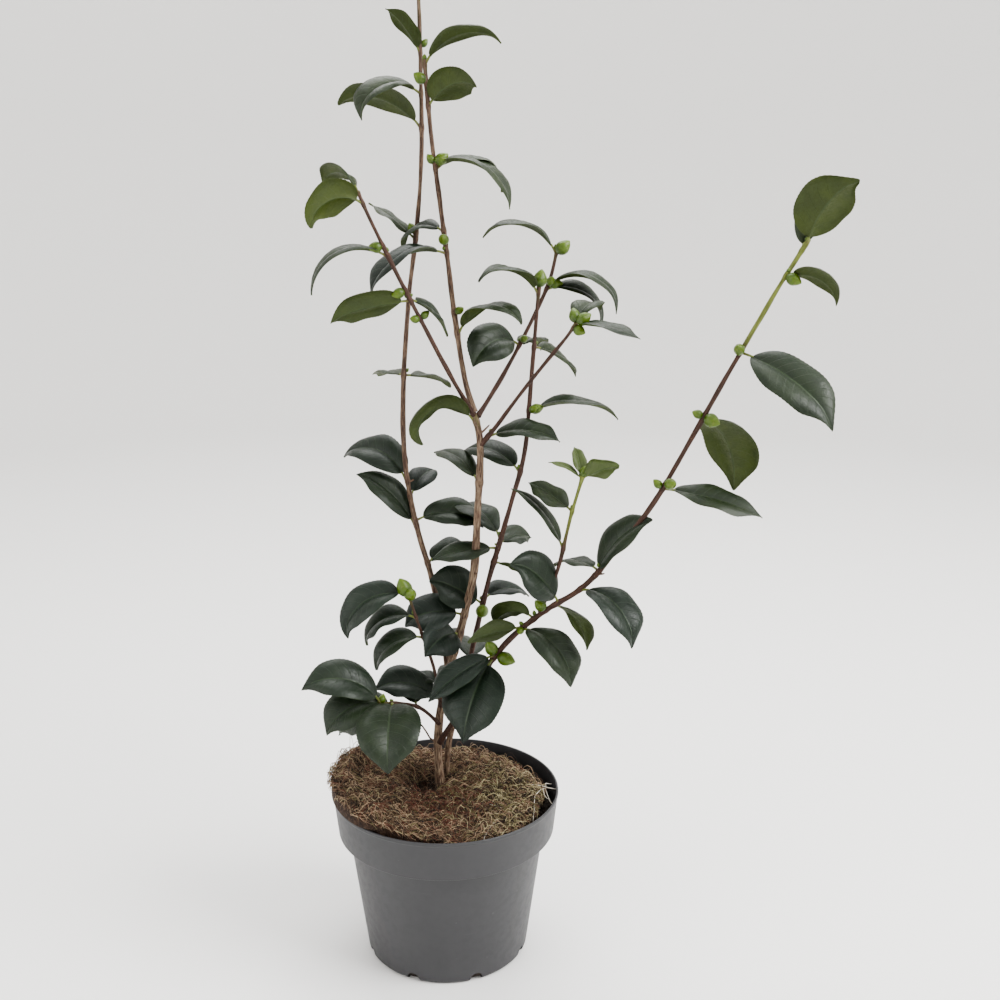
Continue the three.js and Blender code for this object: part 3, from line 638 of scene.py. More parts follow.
class Nodes:
    """Short ways to add and join a material's or a group's nodes."""

    def __init__(self, tree):
        self.tree = tree

    def add(self, kind, **values):
        node = self.tree.nodes.new("ShaderNode" + kind)
        for name, value in values.items():
            setattr(node, name, value)
        return node

    def feed(self, socket, value):
        """Links a socket, or sets a plain value, on an input."""
        if isinstance(value, bpy.types.NodeSocket):
            self.tree.links.new(value, socket)
        elif socket.type == "RGBA" and len(value) == 3:
            socket.default_value = (*value, 1)
        else:
            socket.default_value = value

    def fed(self, node, *values, **named):
        """The outputs of a node, with its first inputs fed in order and others by name."""
        for socket, value in zip(node.inputs, values):
            self.feed(socket, value)
        for name, value in named.items():
            self.feed(node.inputs[name], value)
        return node.outputs

    def math(self, operation, *values):
        return self.fed(self.add("Math", operation=operation), *values)[0]

    def times(self, one, other):
        return self.math("MULTIPLY", one, other)

    def plus(self, one, other):
        return self.math("ADD", one, other)

    def minus(self, one, other):
        return self.math("SUBTRACT", one, other)

    def between(self, value, low, high, new_low=0.0, new_high=1.0):
        """A value brought smoothly from one range to another, held at its ends."""
        node = self.add("MapRange", interpolation_type="SMOOTHSTEP")
        return self.fed(node, value, low, high, new_low, new_high)["Result"]

    def fading(self, value, full, gone):
        """1 up to one value, and 0 from another on."""
        return self.between(value, full, gone, 1.0, 0.0)

    def mix(self, share, one, other):
        """Two colours mixed by a share."""
        node = self.add("Mix", data_type="RGBA")
        for name, value in (("Factor_Float", share), ("A_Color", one), ("B_Color", other)):
            self.feed(next(s for s in node.inputs if s.identifier == name), value)
        return next(s for s in node.outputs if s.identifier == "Result_Color")

    def cover(self, colour, mask, most, other):
        """A colour that another covers where a mask is high, at most by a share."""
        return self.mix(self.times(mask, most), colour, other)

    def noise(self, vector, scale, detail=3.0, roughness=0.55):
        return self.fed(
            self.add("TexNoise"), Vector=vector, Scale=scale, Detail=detail, Roughness=roughness)["Fac"]

    def streaks(self, vector, factors, detail=3.0):
        """Noise drawn out by different factors along the three axes."""
        stretched = self.fed(self.add("VectorMath", operation="MULTIPLY"), vector, factors)["Vector"]
        return self.noise(stretched, 1.0, detail)

    def cells(self, vector, scale, feature="F1"):
        """A pattern of cells round scattered points."""
        return self.fed(self.add("TexVoronoi", feature=feature), Vector=vector, Scale=scale)

    def split(self, vector):
        """A vector's three parts."""
        return self.fed(self.add("SeparateXYZ"), vector)

    def join(self, *parts):
        """A vector of three parts."""
        return self.fed(self.add("CombineXYZ"), *parts)[0]

    def mark(self, name, output="Fac"):
        """A value that the mesh holds at its points."""
        return self.add("Attribute", attribute_name=name).outputs[output]

    def place(self):
        return self.add("TexCoord").outputs["Object"]

    def group(self, name, build, **inputs):
        """The outputs of a shared effect with this material's values, built the first time it's used."""
        tree = bpy.data.node_groups.get(name) or build(name)
        return self.fed(self.add("Group", node_tree=tree), **inputs)

    def mottle(self, place, scale, grain):
        return self.group("Mottle", build_mottle, Place=place, Scale=scale, Grain=grain)

    def specks(self, place, scale, amount):
        return self.group("Speckle", build_speckle, Place=place, Scale=scale, Amount=amount)["Specks"]

    def bump(self, height, strength, depth):
        """A normal from a height. depth is in metres."""
        return self.fed(self.add("Bump"), Height=height, Strength=strength, Distance=depth)["Normal"]


def new_group(name, inputs, outputs):
    """A new shader group with named sockets, and its nodes. inputs is {name: (kind, value)}."""
    tree = bpy.data.node_groups.new(name, "ShaderNodeTree")
    for label, (kind, value) in inputs.items():
        socket = tree.interface.new_socket(label, in_out="INPUT", socket_type="NodeSocket" + kind)
        if value is not None:
            socket.default_value = value
    for label, kind in outputs.items():
        tree.interface.new_socket(label, in_out="OUTPUT", socket_type="NodeSocket" + kind)
    given, result = tree.nodes.new("NodeGroupInput"), tree.nodes.new("NodeGroupOutput")
    return tree, Nodes(tree), given.outputs, result.inputs


def build_mottle(name):
    """Soft cloudy variation with finer grain in it."""
    tree, nodes, given, result = new_group(
        name, {"Place": ("Vector", None), "Scale": ("Float", 60.0), "Grain": ("Float", 0.35)},
        {"Cloud": "Float", "Grain": "Float"})
    finer = 9.0
    cloud_range, grain_range = (0.32, 0.68), (0.3, 0.7)
    cloud = nodes.noise(given["Place"], given["Scale"], detail=2.0)
    fine = nodes.noise(given["Place"], nodes.times(given["Scale"], finer))
    lift = nodes.times(nodes.minus(fine, 0.5), given["Grain"])
    nodes.feed(result["Cloud"], nodes.between(nodes.plus(cloud, lift), *cloud_range))
    nodes.feed(result["Grain"], nodes.between(fine, *grain_range))
    return tree


def build_speckle(name):
    """Sparse round specks, as dust and scuffs leave."""
    tree, nodes, given, result = new_group(
        name, {"Place": ("Vector", None), "Scale": ("Float", 300.0), "Amount": ("Float", 0.1)},
        {"Specks": "Float"})
    largest = 0.28
    cells = nodes.cells(given["Place"], given["Scale"])
    chance, size, _ = nodes.fed(nodes.add("SeparateColor"), Color=cells["Color"])
    kept = nodes.math("LESS_THAN", chance, given["Amount"])
    dot = nodes.math("LESS_THAN", cells["Distance"], nodes.times(size, largest))
    nodes.feed(result["Specks"], nodes.times(kept, dot))
    return tree


def build_veins(name):
    """Midrib, side veins and the fine net between them, from a leaf's own marks:
    share of the half width, distance along the blade in millimetres, and count of side veins."""
    tree, nodes, given, result = new_group(
        name, {"Blade": ("Vector", None)},
        {"Rib": "Float", "Vein": "Float", "Net": "Float", "Height": "Float"})
    # How far from the middle the rib is full and gone, and the side veins; how near a vein's line
    # counts as the vein; and the width of the net's threads.
    rib_edge, vein_ends, vein_edge, net_edge = (0.014, 0.055), (0.6, 0.93), (0.455, 0.495), (0.02, 0.12)
    net_across, net_scale = 18.0, 0.55
    rib_height, vein_height, net_height = 0.6, 0.8, 0.2
    side, along, count = nodes.split(given["Blade"])
    off = nodes.math("ABSOLUTE", side)
    rib = nodes.fading(off, *rib_edge)
    gap = nodes.math("ABSOLUTE", nodes.minus(nodes.math("FRACT", count), 0.5))
    vein = nodes.times(nodes.between(gap, *vein_edge), nodes.fading(off, *vein_ends))
    spot = nodes.join(nodes.times(side, net_across), along, nodes.math("FLOOR", count))
    net = nodes.fading(nodes.cells(spot, net_scale, "DISTANCE_TO_EDGE")["Distance"], *net_edge)
    ridges = nodes.plus(nodes.times(vein, vein_height), nodes.times(net, net_height))
    nodes.feed(result["Rib"], rib)
    nodes.feed(result["Vein"], vein)
    nodes.feed(result["Net"], net)
    nodes.feed(result["Height"], nodes.math("MAXIMUM", ridges, nodes.times(rib, rib_height)))
    return tree


def build_bark(name):
    """Long ridges, furrows and pores of bark, from a place round and along the limb in millimetres."""
    tree, nodes, given, result = new_group(
        name, {"Place": ("Vector", None), "Length": ("Float", 0.09)},
        {"Ridge": "Float", "Furrow": "Float", "Pore": "Float", "Height": "Float"})
    ridge_range, crack_edge, pore_edge = (0.35, 0.65), (0.38, 0.5), (0.1, 0.2)
    across, around, along = nodes.split(given["Place"])
    drawn_out = nodes.join(across, around, nodes.times(along, given["Length"]))
    ridge = nodes.noise(drawn_out, 0.75, detail=4.0, roughness=0.6)
    furrow = nodes.noise(drawn_out, 1.5, detail=2.0, roughness=0.5)
    pore = nodes.fading(nodes.cells(given["Place"], 0.33)["Distance"], *pore_edge)
    cracks = nodes.fading(furrow, *crack_edge)
    nodes.feed(result["Ridge"], nodes.between(ridge, *ridge_range))
    nodes.feed(result["Furrow"], cracks)
    nodes.feed(result["Pore"], pore)
    nodes.feed(result["Height"], nodes.minus(nodes.plus(ridge, pore), cracks))
    return tree


def tinted(colour, share):
    """A colour made darker or lighter by a share."""
    return [part * share for part in colour]


def new_finish(name, roughness):
    """A material with one plain shader, its nodes and that shader's inputs."""
    material = bpy.data.materials.new(name)
    material.use_nodes = True
    nodes = Nodes(material.node_tree)
    shader = next(n for n in material.node_tree.nodes if n.type == "BSDF_PRINCIPLED")
    shader.inputs["Roughness"].default_value = roughness
    return material, nodes, shader.inputs


def plain_finish(name, colour, roughness):
    material, nodes, shader = new_finish(name, roughness)
    nodes.feed(shader["Base Color"], colour)
    return material


def pot_finish(settings):
    """Smooth grey plastic with faint flow lines, fine scuffs, and dust towards its foot."""
    material, nodes, shader = new_finish("grey_plastic", 0.5)
    flow_stretch, scratch_stretch = (60.0, 60.0, 2.2), (30.0, 30.0, 420.0)
    dust_height, least_dust, most_dust = 0.035, 0.25, 0.45
    place = nodes.place()
    mottle = nodes.mottle(place, scale=16.0, grain=0.3)
    specks = nodes.specks(place, scale=170.0, amount=0.035)
    flow = nodes.streaks(place, flow_stretch)
    low = nodes.fading(nodes.split(place)[2], 0.0, dust_height)
    scratch = nodes.streaks(place, scratch_stretch, detail=1.0)
    patchy = nodes.between(mottle["Cloud"], 0.55, 0.95)
    scuff = nodes.times(nodes.between(scratch, 0.66, 0.74), patchy)
    dusty = nodes.times(nodes.plus(low, least_dust), nodes.times(mottle["Cloud"], most_dust))
    worn = nodes.math("MAXIMUM", nodes.times(scuff, 0.5), nodes.math("MAXIMUM", dusty, specks))
    flowing = nodes.between(flow, 0.35, 0.65, new_high=0.12)
    shade = nodes.mix(flowing, settings.colour, tinted(settings.colour, 0.78))
    nodes.feed(shader["Base Color"], nodes.cover(shade, worn, 0.4, settings.worn))
    rough = nodes.plus(mottle["Grain"], worn)
    nodes.feed(shader["Roughness"], nodes.between(rough, 0.0, 1.6, new_low=0.46, new_high=0.56))
    height = nodes.plus(nodes.noise(place, 1400.0, detail=2.0), nodes.times(flow, 0.15))
    nodes.feed(shader["Normal"], nodes.bump(height, strength=0.12, depth=0.0004))
    return material


def soil_finish(settings):
    """Dark moist peat with pale bits in it."""
    material, nodes, shader = new_finish("peat", 0.95)
    pale_bit = (0.2, 0.16, 0.11)
    place = nodes.place()
    mottle = nodes.mottle(place, scale=240.0, grain=0.8)
    specks = nodes.specks(place, scale=420.0, amount=0.08)
    colour = nodes.mix(mottle["Cloud"], settings.soil_colour, tinted(settings.soil_colour, 2.6))
    nodes.feed(shader["Base Color"], nodes.cover(colour, specks, 0.7, pale_bit))
    nodes.feed(shader["Normal"], nodes.bump(mottle["Grain"], strength=0.7, depth=0.0012))
    return material


def mat_finish(settings):
    """The depth of the mat under its fibres, painted dark brown as painted shade, with strands in it painted
    lighter, as fibres that catch the light.
    """
    material, nodes, shader = new_finish("coir_depth", 0.95)
    strand_stretch = (700.0, 160.0, 400.0)
    strand_colour = (0.09, 0.05, 0.028)
    place = nodes.place()
    mottle = nodes.mottle(place, scale=150.0, grain=0.9)
    strands = nodes.streaks(place, strand_stretch)
    # Painted shade: the depth is darkened, between this colour and one a little lighter.
    colour = nodes.mix(mottle["Cloud"], settings.depth_shade_colour, tinted(settings.depth_shade_colour, 2.2))
    nodes.feed(shader["Base Color"], nodes.mix(nodes.between(strands, 0.5, 0.62), colour, strand_colour))
    height = nodes.plus(strands, mottle["Grain"])
    nodes.feed(shader["Normal"], nodes.bump(height, strength=0.9, depth=0.0015))
    return material


def bark_finish(name, settings):
    """Streaked bark, pale where the mesh's pale mark is 1, and green where its age mark falls to 0."""
    material, nodes, shader = new_finish(name, 0.7)
    place = nodes.mark("bark_place", "Vector")
    age, pale = nodes.mark("age"), nodes.mark("pale")
    bark = nodes.group("Bark streaks", build_bark, Place=place, Length=0.085)
    mottle = nodes.mottle(nodes.place(), scale=90.0, grain=0.4)
    ridge = nodes.mix(pale, settings.dark, settings.light)
    dusky = nodes.mix(pale, tinted(settings.dark, 0.5), settings.streak)
    brown = nodes.mix(bark["Ridge"], dusky, ridge)
    brown = nodes.cover(brown, mottle["Cloud"], 0.45, dusky)
    brown = nodes.cover(brown, bark["Furrow"], 0.75, settings.furrow)
    brown = nodes.cover(brown, bark["Pore"], 0.3, settings.light)
    green = nodes.mix(bark["Ridge"], tinted(settings.green, 0.6), settings.green)
    ragged = nodes.times(nodes.minus(bark["Ridge"], 0.5), 0.3)
    turned = nodes.between(nodes.plus(age, ragged), 0.3, 0.7)
    nodes.feed(shader["Base Color"], nodes.mix(turned, green, brown))
    rough = nodes.plus(age, bark["Furrow"])
    nodes.feed(shader["Roughness"], nodes.between(rough, 0.0, 1.2, new_low=0.45, new_high=0.78))
    nodes.feed(shader["Normal"], nodes.bump(bark["Height"], strength=0.6, depth=0.0005))
    return material


def leaf_finish(name, low, high, rib, roughness, ribs_stand_out):
    """One face of the leaves. The blade mark places the veins, and the tone mark picks the green, which is
    partly painted light coming through backlit leaves.
    """
    material, nodes, shader = new_finish(name, roughness)
    smoothest, roughest = roughness - 0.06, roughness + 0.12
    veins = nodes.group("Leaf veins", build_veins, Blade=nodes.mark("blade", "Vector"))
    mottle = nodes.mottle(nodes.place(), scale=55.0, grain=0.35)
    # Painted light: towards high, the tone brightens the green as light coming through backlit leaves.
    colour = nodes.mix(nodes.mark("tone"), low, high)
    colour = nodes.cover(colour, mottle["Cloud"], 0.45, tinted(low, 0.62))
    colour = nodes.cover(colour, veins["Net"], 0.06, rib)
    colour = nodes.cover(colour, veins["Vein"], 0.14, rib)
    nodes.feed(shader["Base Color"], nodes.cover(colour, veins["Rib"], 0.4, rib))
    worn = nodes.plus(mottle["Grain"], nodes.times(veins["Vein"], 0.4))
    nodes.feed(shader["Roughness"], nodes.between(worn, 0.0, 1.4, smoothest, roughest))
    height = veins["Height"]
    if not ribs_stand_out:
        height = nodes.minus(nodes.times(mottle["Grain"], 0.15), height)
    nodes.feed(shader["Normal"], nodes.bump(height, strength=0.7, depth=0.00035))
    shader["Specular IOR Level"].default_value = LEAF_SHEEN
    return material


def stalk_finish(settings):
    """A leaf's stalk, brown where it leaves the limb and green at the blade."""
    material, nodes, shader = new_finish("leaf_stalk", 0.5)
    mottle = nodes.mottle(nodes.place(), scale=160.0, grain=0.5)
    cloudy = nodes.times(mottle["Cloud"], 0.3)
    run = nodes.between(nodes.plus(nodes.mark("run"), cloudy), 0.1, 0.9)
    nodes.feed(shader["Base Color"], nodes.mix(run, settings.stalk_foot, settings.stalk))
    nodes.feed(shader["Normal"], nodes.bump(mottle["Grain"], strength=0.3, depth=0.0003))
    return material


def bud_finish(settings):
    """Scales that pale towards the bud's tip, with a thin dry edge."""
    material, nodes, shader = new_finish("bud_scale", 0.36)
    run, edge, tone = nodes.split(nodes.mark("scale", "Vector"))
    mottle = nodes.mottle(nodes.place(), scale=260.0, grain=0.4)
    pale = nodes.plus(nodes.times(run, 0.75), nodes.times(mottle["Cloud"], 0.25))
    colour = nodes.mix(nodes.times(pale, tone), settings.foot_colour, settings.tip_colour)
    dry = nodes.between(edge, 0.82, 1.0, new_high=0.55)
    nodes.feed(shader["Base Color"], nodes.mix(dry, colour, settings.edge_colour))
    nodes.feed(shader["Normal"], nodes.bump(mottle["Grain"], strength=0.2, depth=0.0003))
    return material


def rounded(profile, steps=5):
    """A profile of (radius, height, corner radius) with its corners rounded by arcs."""
    corners = [np.array(point[:2], float) for point in profile]
    line = []
    for number, (*_, turn) in enumerate(profile):
        here = corners[number]
        if not turn or number in (0, len(profile) - 1):
            line.append(here)
            continue
        before, after = unit(corners[number - 1] - here), unit(corners[number + 1] - here)
        reach = min(turn, 0.49 * np.linalg.norm(corners[number - 1] - here),
                    0.49 * np.linalg.norm(corners[number + 1] - here))
        for share in np.linspace(0, 1, steps):
            one, other = here + before * reach * (1 - share), here + after * reach * share
            line.append(one + (other - one) * share)
    return np.array(line)


def turned_grid(profile, sides):
    angle = np.linspace(0, 2 * np.pi, sides, endpoint=False)
    radius, height = profile[:, :1], np.broadcast_to(profile[:, 1:], (len(profile), sides))
    return np.stack([radius * np.cos(angle), radius * np.sin(angle), height], -1)


class SHRUB_OT_add_pot(bpy.types.Operator):
    """Add the pot: a tapered body with a wide collar, a rounded rim and eight drain notches"""
    bl_idname = "shrub.add_pot"
    bl_label = "Pot"

    # The underside is raised inside a ring that the pot stands on.
    raised = 1.6
    raised_from = 14
    ring_from = 12
    foot_round = 3
    floor_top = 3
    # The collar's lower edge is eased, and the rim is a little wider than the wall under it.
    collar_ease = 0.6
    rim_foot = 4
    rim_step = 0.5
    rim_inside = 0.6
    # The notches: how deep, wide and high each is, the steps and fullness of its arch, and how far
    # the cutter goes below the foot.
    notches = 8
    notch_size = (14, 13, 9)
    notch_steps = 13
    notch_fullness = 0.6
    notch_below = 4
    sharp_from = 38

    def profile(self, pot):
        """The pot's outline as (radius, height, corner radius), from the middle of the underside, up
        the outside and down the inside to the middle of the floor."""
        top, low = pot.height / MM, (pot.height - pot.collar) / MM
        rim, collar, body, foot = (value / MM for value in (
            pot.rim_radius, pot.collar_foot, pot.body_radius, pot.foot_radius))
        wall, floor = pot.wall / MM, self.floor_top
        return rounded([
            (1, self.raised, 0), (foot - self.raised_from, self.raised, 2), (foot - self.ring_from, 0, 1),
            (foot - self.foot_round, 0, 1.5), (foot, self.foot_round, 3), (body, low - 0.5, 1.2),
            (collar - self.collar_ease, low, 1.2), (collar, low + 0.8, 0.8),
            (rim - self.rim_step, top - self.rim_foot, 2), (rim, top - self.rim_foot + 1, 0.8),
            (rim, top, 1), (rim - wall, top, 0.8),
            (rim - wall - self.rim_inside, top - self.rim_foot - 1, 2), (collar - wall, low + wall, 2),
            (body - wall, low + wall, 2), (foot - wall, floor, 2), (1, floor, 0)])

    def cut_notches(self, piece, foot):
        """Cuts rounded notches through the foot's edge."""
        deep, wide, high = self.notch_size
        angle = np.linspace(0, np.pi, self.notch_steps)
        arch = np.stack([np.cos(angle) * wide / 2, high * np.sin(angle) ** self.notch_fullness], 1)
        arch = np.vstack([[wide / 2, -self.notch_below], arch, [-wide / 2, -self.notch_below]])
        maker = MeshMaker()
        for number in range(self.notches):
            heading = 2 * np.pi * (number + 0.5) / self.notches
            out = np.array([math.cos(heading), math.sin(heading), 0])
            side = np.array([-out[1], out[0], 0])
            section = side * arch[:, :1] + np.array([0, 0, 1]) * arch[:, 1:]
            maker.grid(np.stack([section + out * (foot - deep / 2), section + out * (foot + deep)]),
                       closed=True, ends=True)
        cutter = bpy.data.objects.new("notches", maker.mesh("notches"))
        bpy.context.scene.collection.objects.link(cutter)
        cut = piece.modifiers.new("notches", "BOOLEAN")
        cut.operation = "DIFFERENCE"
        cut.object = cutter
        graph = bpy.context.evaluated_depsgraph_get()
        mesh = bpy.data.meshes.new_from_object(piece.evaluated_get(graph))
        bpy.data.objects.remove(cutter)
        return mesh

    def execute(self, context):
        pot = context.scene.shrub_pot
        maker = MeshMaker()
        maker.grid(turned_grid(self.profile(pot), pot.sides), closed=True, ends=True)
        whole = bpy.data.objects.new("whole_pot", maker.mesh("whole_pot", mapped=False))
        context.scene.collection.objects.link(whole)
        mesh = self.cut_notches(whole, pot.foot_radius / MM)
        bpy.data.objects.remove(whole)
        mesh.name = "nursery_pot"
        mesh.set_sharp_from_angle(angle=math.radians(self.sharp_from))
        mesh.materials.clear()
        add_piece("nursery_pot", mesh, [pot_finish(pot)], ["pot"])
        return {"FINISHED"}


# The mat's outline: how far it swells to one side, and the waves of its edge, each with its height in
# millimetres, its count round the mat and where it starts.
MAT_SWELL = 5
MAT_SWELL_HEADING = 190
MAT_EDGE_WAVES = ((1, 5, 1), (0.6, 9, 0), (1.2, 17, 2))

# The mat's lumps: large ones that grow towards its edge, and small ones all over it. Its surface
# falls from its crown up to a share of its radius.
MAT_LUMP = 2.5
MAT_LUMP_REACH = (17, 23)
MAT_KNOB = 1.1
MAT_KNOB_REACH = (7.3, 6.1, 15)
MAT_FALLS_UNTIL = 1.1

# The mat's left edge is a thick roll that rides over the pot's rim.
ROLL_MIDDLE = 101
ROLL_HALF_WIDTH = 13
ROLL_FOOT = 171.5
ROLL_HEIGHT = 17
ROLL_FROM = (128, 150)
ROLL_UNTIL = (222, 246)
ROLL_LEAST = 0.02

# The hollow beside the stems, darkened with painted shade by dark fibres and bared mat: its pixel in
# the photo, and its reach and depth in millimetres.
HOLLOW = (425, 779, 16, 22)


def roll_share(heading):
    """How far the mat's roll is present in a direction, from 0 to 1."""
    degrees = np.degrees(heading) % 360
    return smooth(*ROLL_FROM, degrees) * (1 - smooth(*ROLL_UNTIL, degrees))


def mat_edge(mat, heading):
    """How far the mat reaches in a direction."""
    waves = sum(high * np.sin(count * heading + start) for high, count, start in MAT_EDGE_WAVES)
    edge = mat.radius / MM + MAT_SWELL * np.cos(heading - math.radians(MAT_SWELL_HEADING)) + waves
    share = roll_share(heading)
    return edge * (1 - share) + (ROLL_MIDDLE + ROLL_HALF_WIDTH) * share


def mat_top(mat, x, y):
    """Height of the mat's surface over a place."""
    radius, heading = np.hypot(x, y), np.arctan2(y, x)
    share = radius / (mat.radius / MM)
    crown, edge = mat.crown / MM, mat.edge / MM
    lift = mat.lift / MM * np.maximum(0, np.cos(heading - math.radians(MAT_SWELL_HEADING)))
    one, other = MAT_LUMP_REACH
    lump = MAT_LUMP * share * np.sin(3 * heading + radius / one) * np.cos(2 * heading - radius / other)
    wide, deep, skew = MAT_KNOB_REACH
    lump += MAT_KNOB * np.sin(x / wide + 1) * np.sin(y / deep + x / skew)
    height = crown + (edge + lift - crown) * np.minimum(share, MAT_FALLS_UNTIL) ** 2 + lump
    across = (radius - ROLL_MIDDLE) / ROLL_HALF_WIDTH
    roll = ROLL_FOOT + ROLL_HEIGHT * roll_share(heading) * np.sqrt(np.maximum(0, 1 - across ** 2))
    roll = np.where(np.abs(across) < 1, roll * (roll_share(heading) > ROLL_LEAST), 0)
    *seen, reach, depth = HOLLOW
    hollow_x, hollow_y, _ = at_height(*seen, crown)
    hollow = depth * np.exp(-((x - hollow_x) ** 2 + (y - hollow_y) ** 2) / (2 * reach ** 2))
    return np.maximum(height, roll) - hollow


class SHRUB_OT_add_soil(bpy.types.Operator):
    """Add the root ball: moist peat with crumbs that show round the mat"""
    bl_idname = "shrub.add_soil"
    bl_label = "Soil"

    seed = 11
    rings = 34
    sides = 120
    clearance = 0.6
    foot_height = 3.4
    # How far above the collar's foot the soil widens.
    widens = (2.4, 2.6)
    rough = 0.5
    heave = 1.4
    heave_reach = (5.3, 4.7)
    crumbs = 420
    crumb_band = (78, 106)
    crumb_radius = (0.8, 2.4)
    crumb_lift = 0.6
    crumb_rings = 5
    crumb_sides = 7
    crumb_pole = 0.25
    crumb_rough = 0.25
    crumb_squash = (1, 1, 0.75)

    def crumb(self, maker, middle, size, rng):
        """One lump of peat: a small rough ball."""
        polar = np.linspace(self.crumb_pole, np.pi - self.crumb_pole, self.crumb_rings)[:, None]
        angle = np.linspace(0, 2 * np.pi, self.crumb_sides, endpoint=False)
        ball = np.stack([np.sin(polar) * np.cos(angle), np.sin(polar) * np.sin(angle),
                         -np.cos(polar) + 0 * angle], -1)
        rough = 1 + rng.uniform(-self.crumb_rough, self.crumb_rough, ball.shape[:2])
        maker.grid(middle + ball * (size * rough)[..., None] * self.crumb_squash, closed=True, ends=True)

    def execute(self, context):
        pot, mat = context.scene.shrub_pot, context.scene.shrub_mat
        rng = np.random.default_rng(self.seed)
        wall, top = pot.wall / MM + self.clearance, mat.soil_top / MM
        low, body, foot, collar = ((value / MM for value in (
            pot.height - pot.collar, pot.body_radius, pot.foot_radius, pot.collar_foot)))
        side = [(1, self.foot_height), (foot - wall, self.foot_height), (body - wall, low + self.widens[0]),
                (collar - wall, low + self.widens[1])]
        surface = [(radius, top) for radius in np.linspace(collar - wall + 1, 1, self.rings)]
        points = turned_grid(np.array(side + surface), self.sides)
        bumpy = points[len(side):]
        bumpy[..., 2] += rng.normal(0, self.rough, bumpy.shape[:2])
        across, deep = self.heave_reach
        bumpy[..., 2] += self.heave * np.sin(bumpy[..., 0] / across) * np.sin(bumpy[..., 1] / deep)
        maker = MeshMaker()
        maker.grid(points, closed=True, ends=True)
        for _ in range(self.crumbs):
            heading, radius = rng.uniform(0, 2 * np.pi), rng.uniform(*self.crumb_band)
            size = rng.uniform(*self.crumb_radius)
            height = top + self.crumb_lift * size
            middle = np.array([radius * math.cos(heading), radius * math.sin(heading), height])
            self.crumb(maker, middle, size, rng)
        add_piece("peat", maker.mesh("peat", mapped=False), [soil_finish(mat)], ["root_ball"])
        return {"FINISHED"}


# Colours of the coconut fibres, and how likely each is in the main part of the mat, in the straw
# part on the right, in the reddish part in front of the stems, and in the hollow beside them. The
# near-black umber fibres are partly the coir's own dark fibres and, gathered in the hollow, painted shade.
FIBRE_TONES = {
    "tan": ((0.34, 0.245, 0.16), 4, 1.5, 0.6, 0.1),
    "brown": ((0.17, 0.105, 0.065), 5, 2.5, 2, 0.4),
    "straw": ((0.37, 0.32, 0.19), 0.8, 4, 0.3, 0),
    "olive": ((0.145, 0.125, 0.055), 0.8, 4, 0.5, 0),
    "russet": ((0.13, 0.048, 0.03), 1.6, 0.4, 8, 1),
    "umber": ((0.028, 0.016, 0.01), 5, 4.5, 4, 9),
}
# The straw part and the reddish part: the pixel of each in the photo, and its reach in millimetres.
STRAW_PART = (510, 795, 44)
RUSSET_PART = (446, 805, 24)


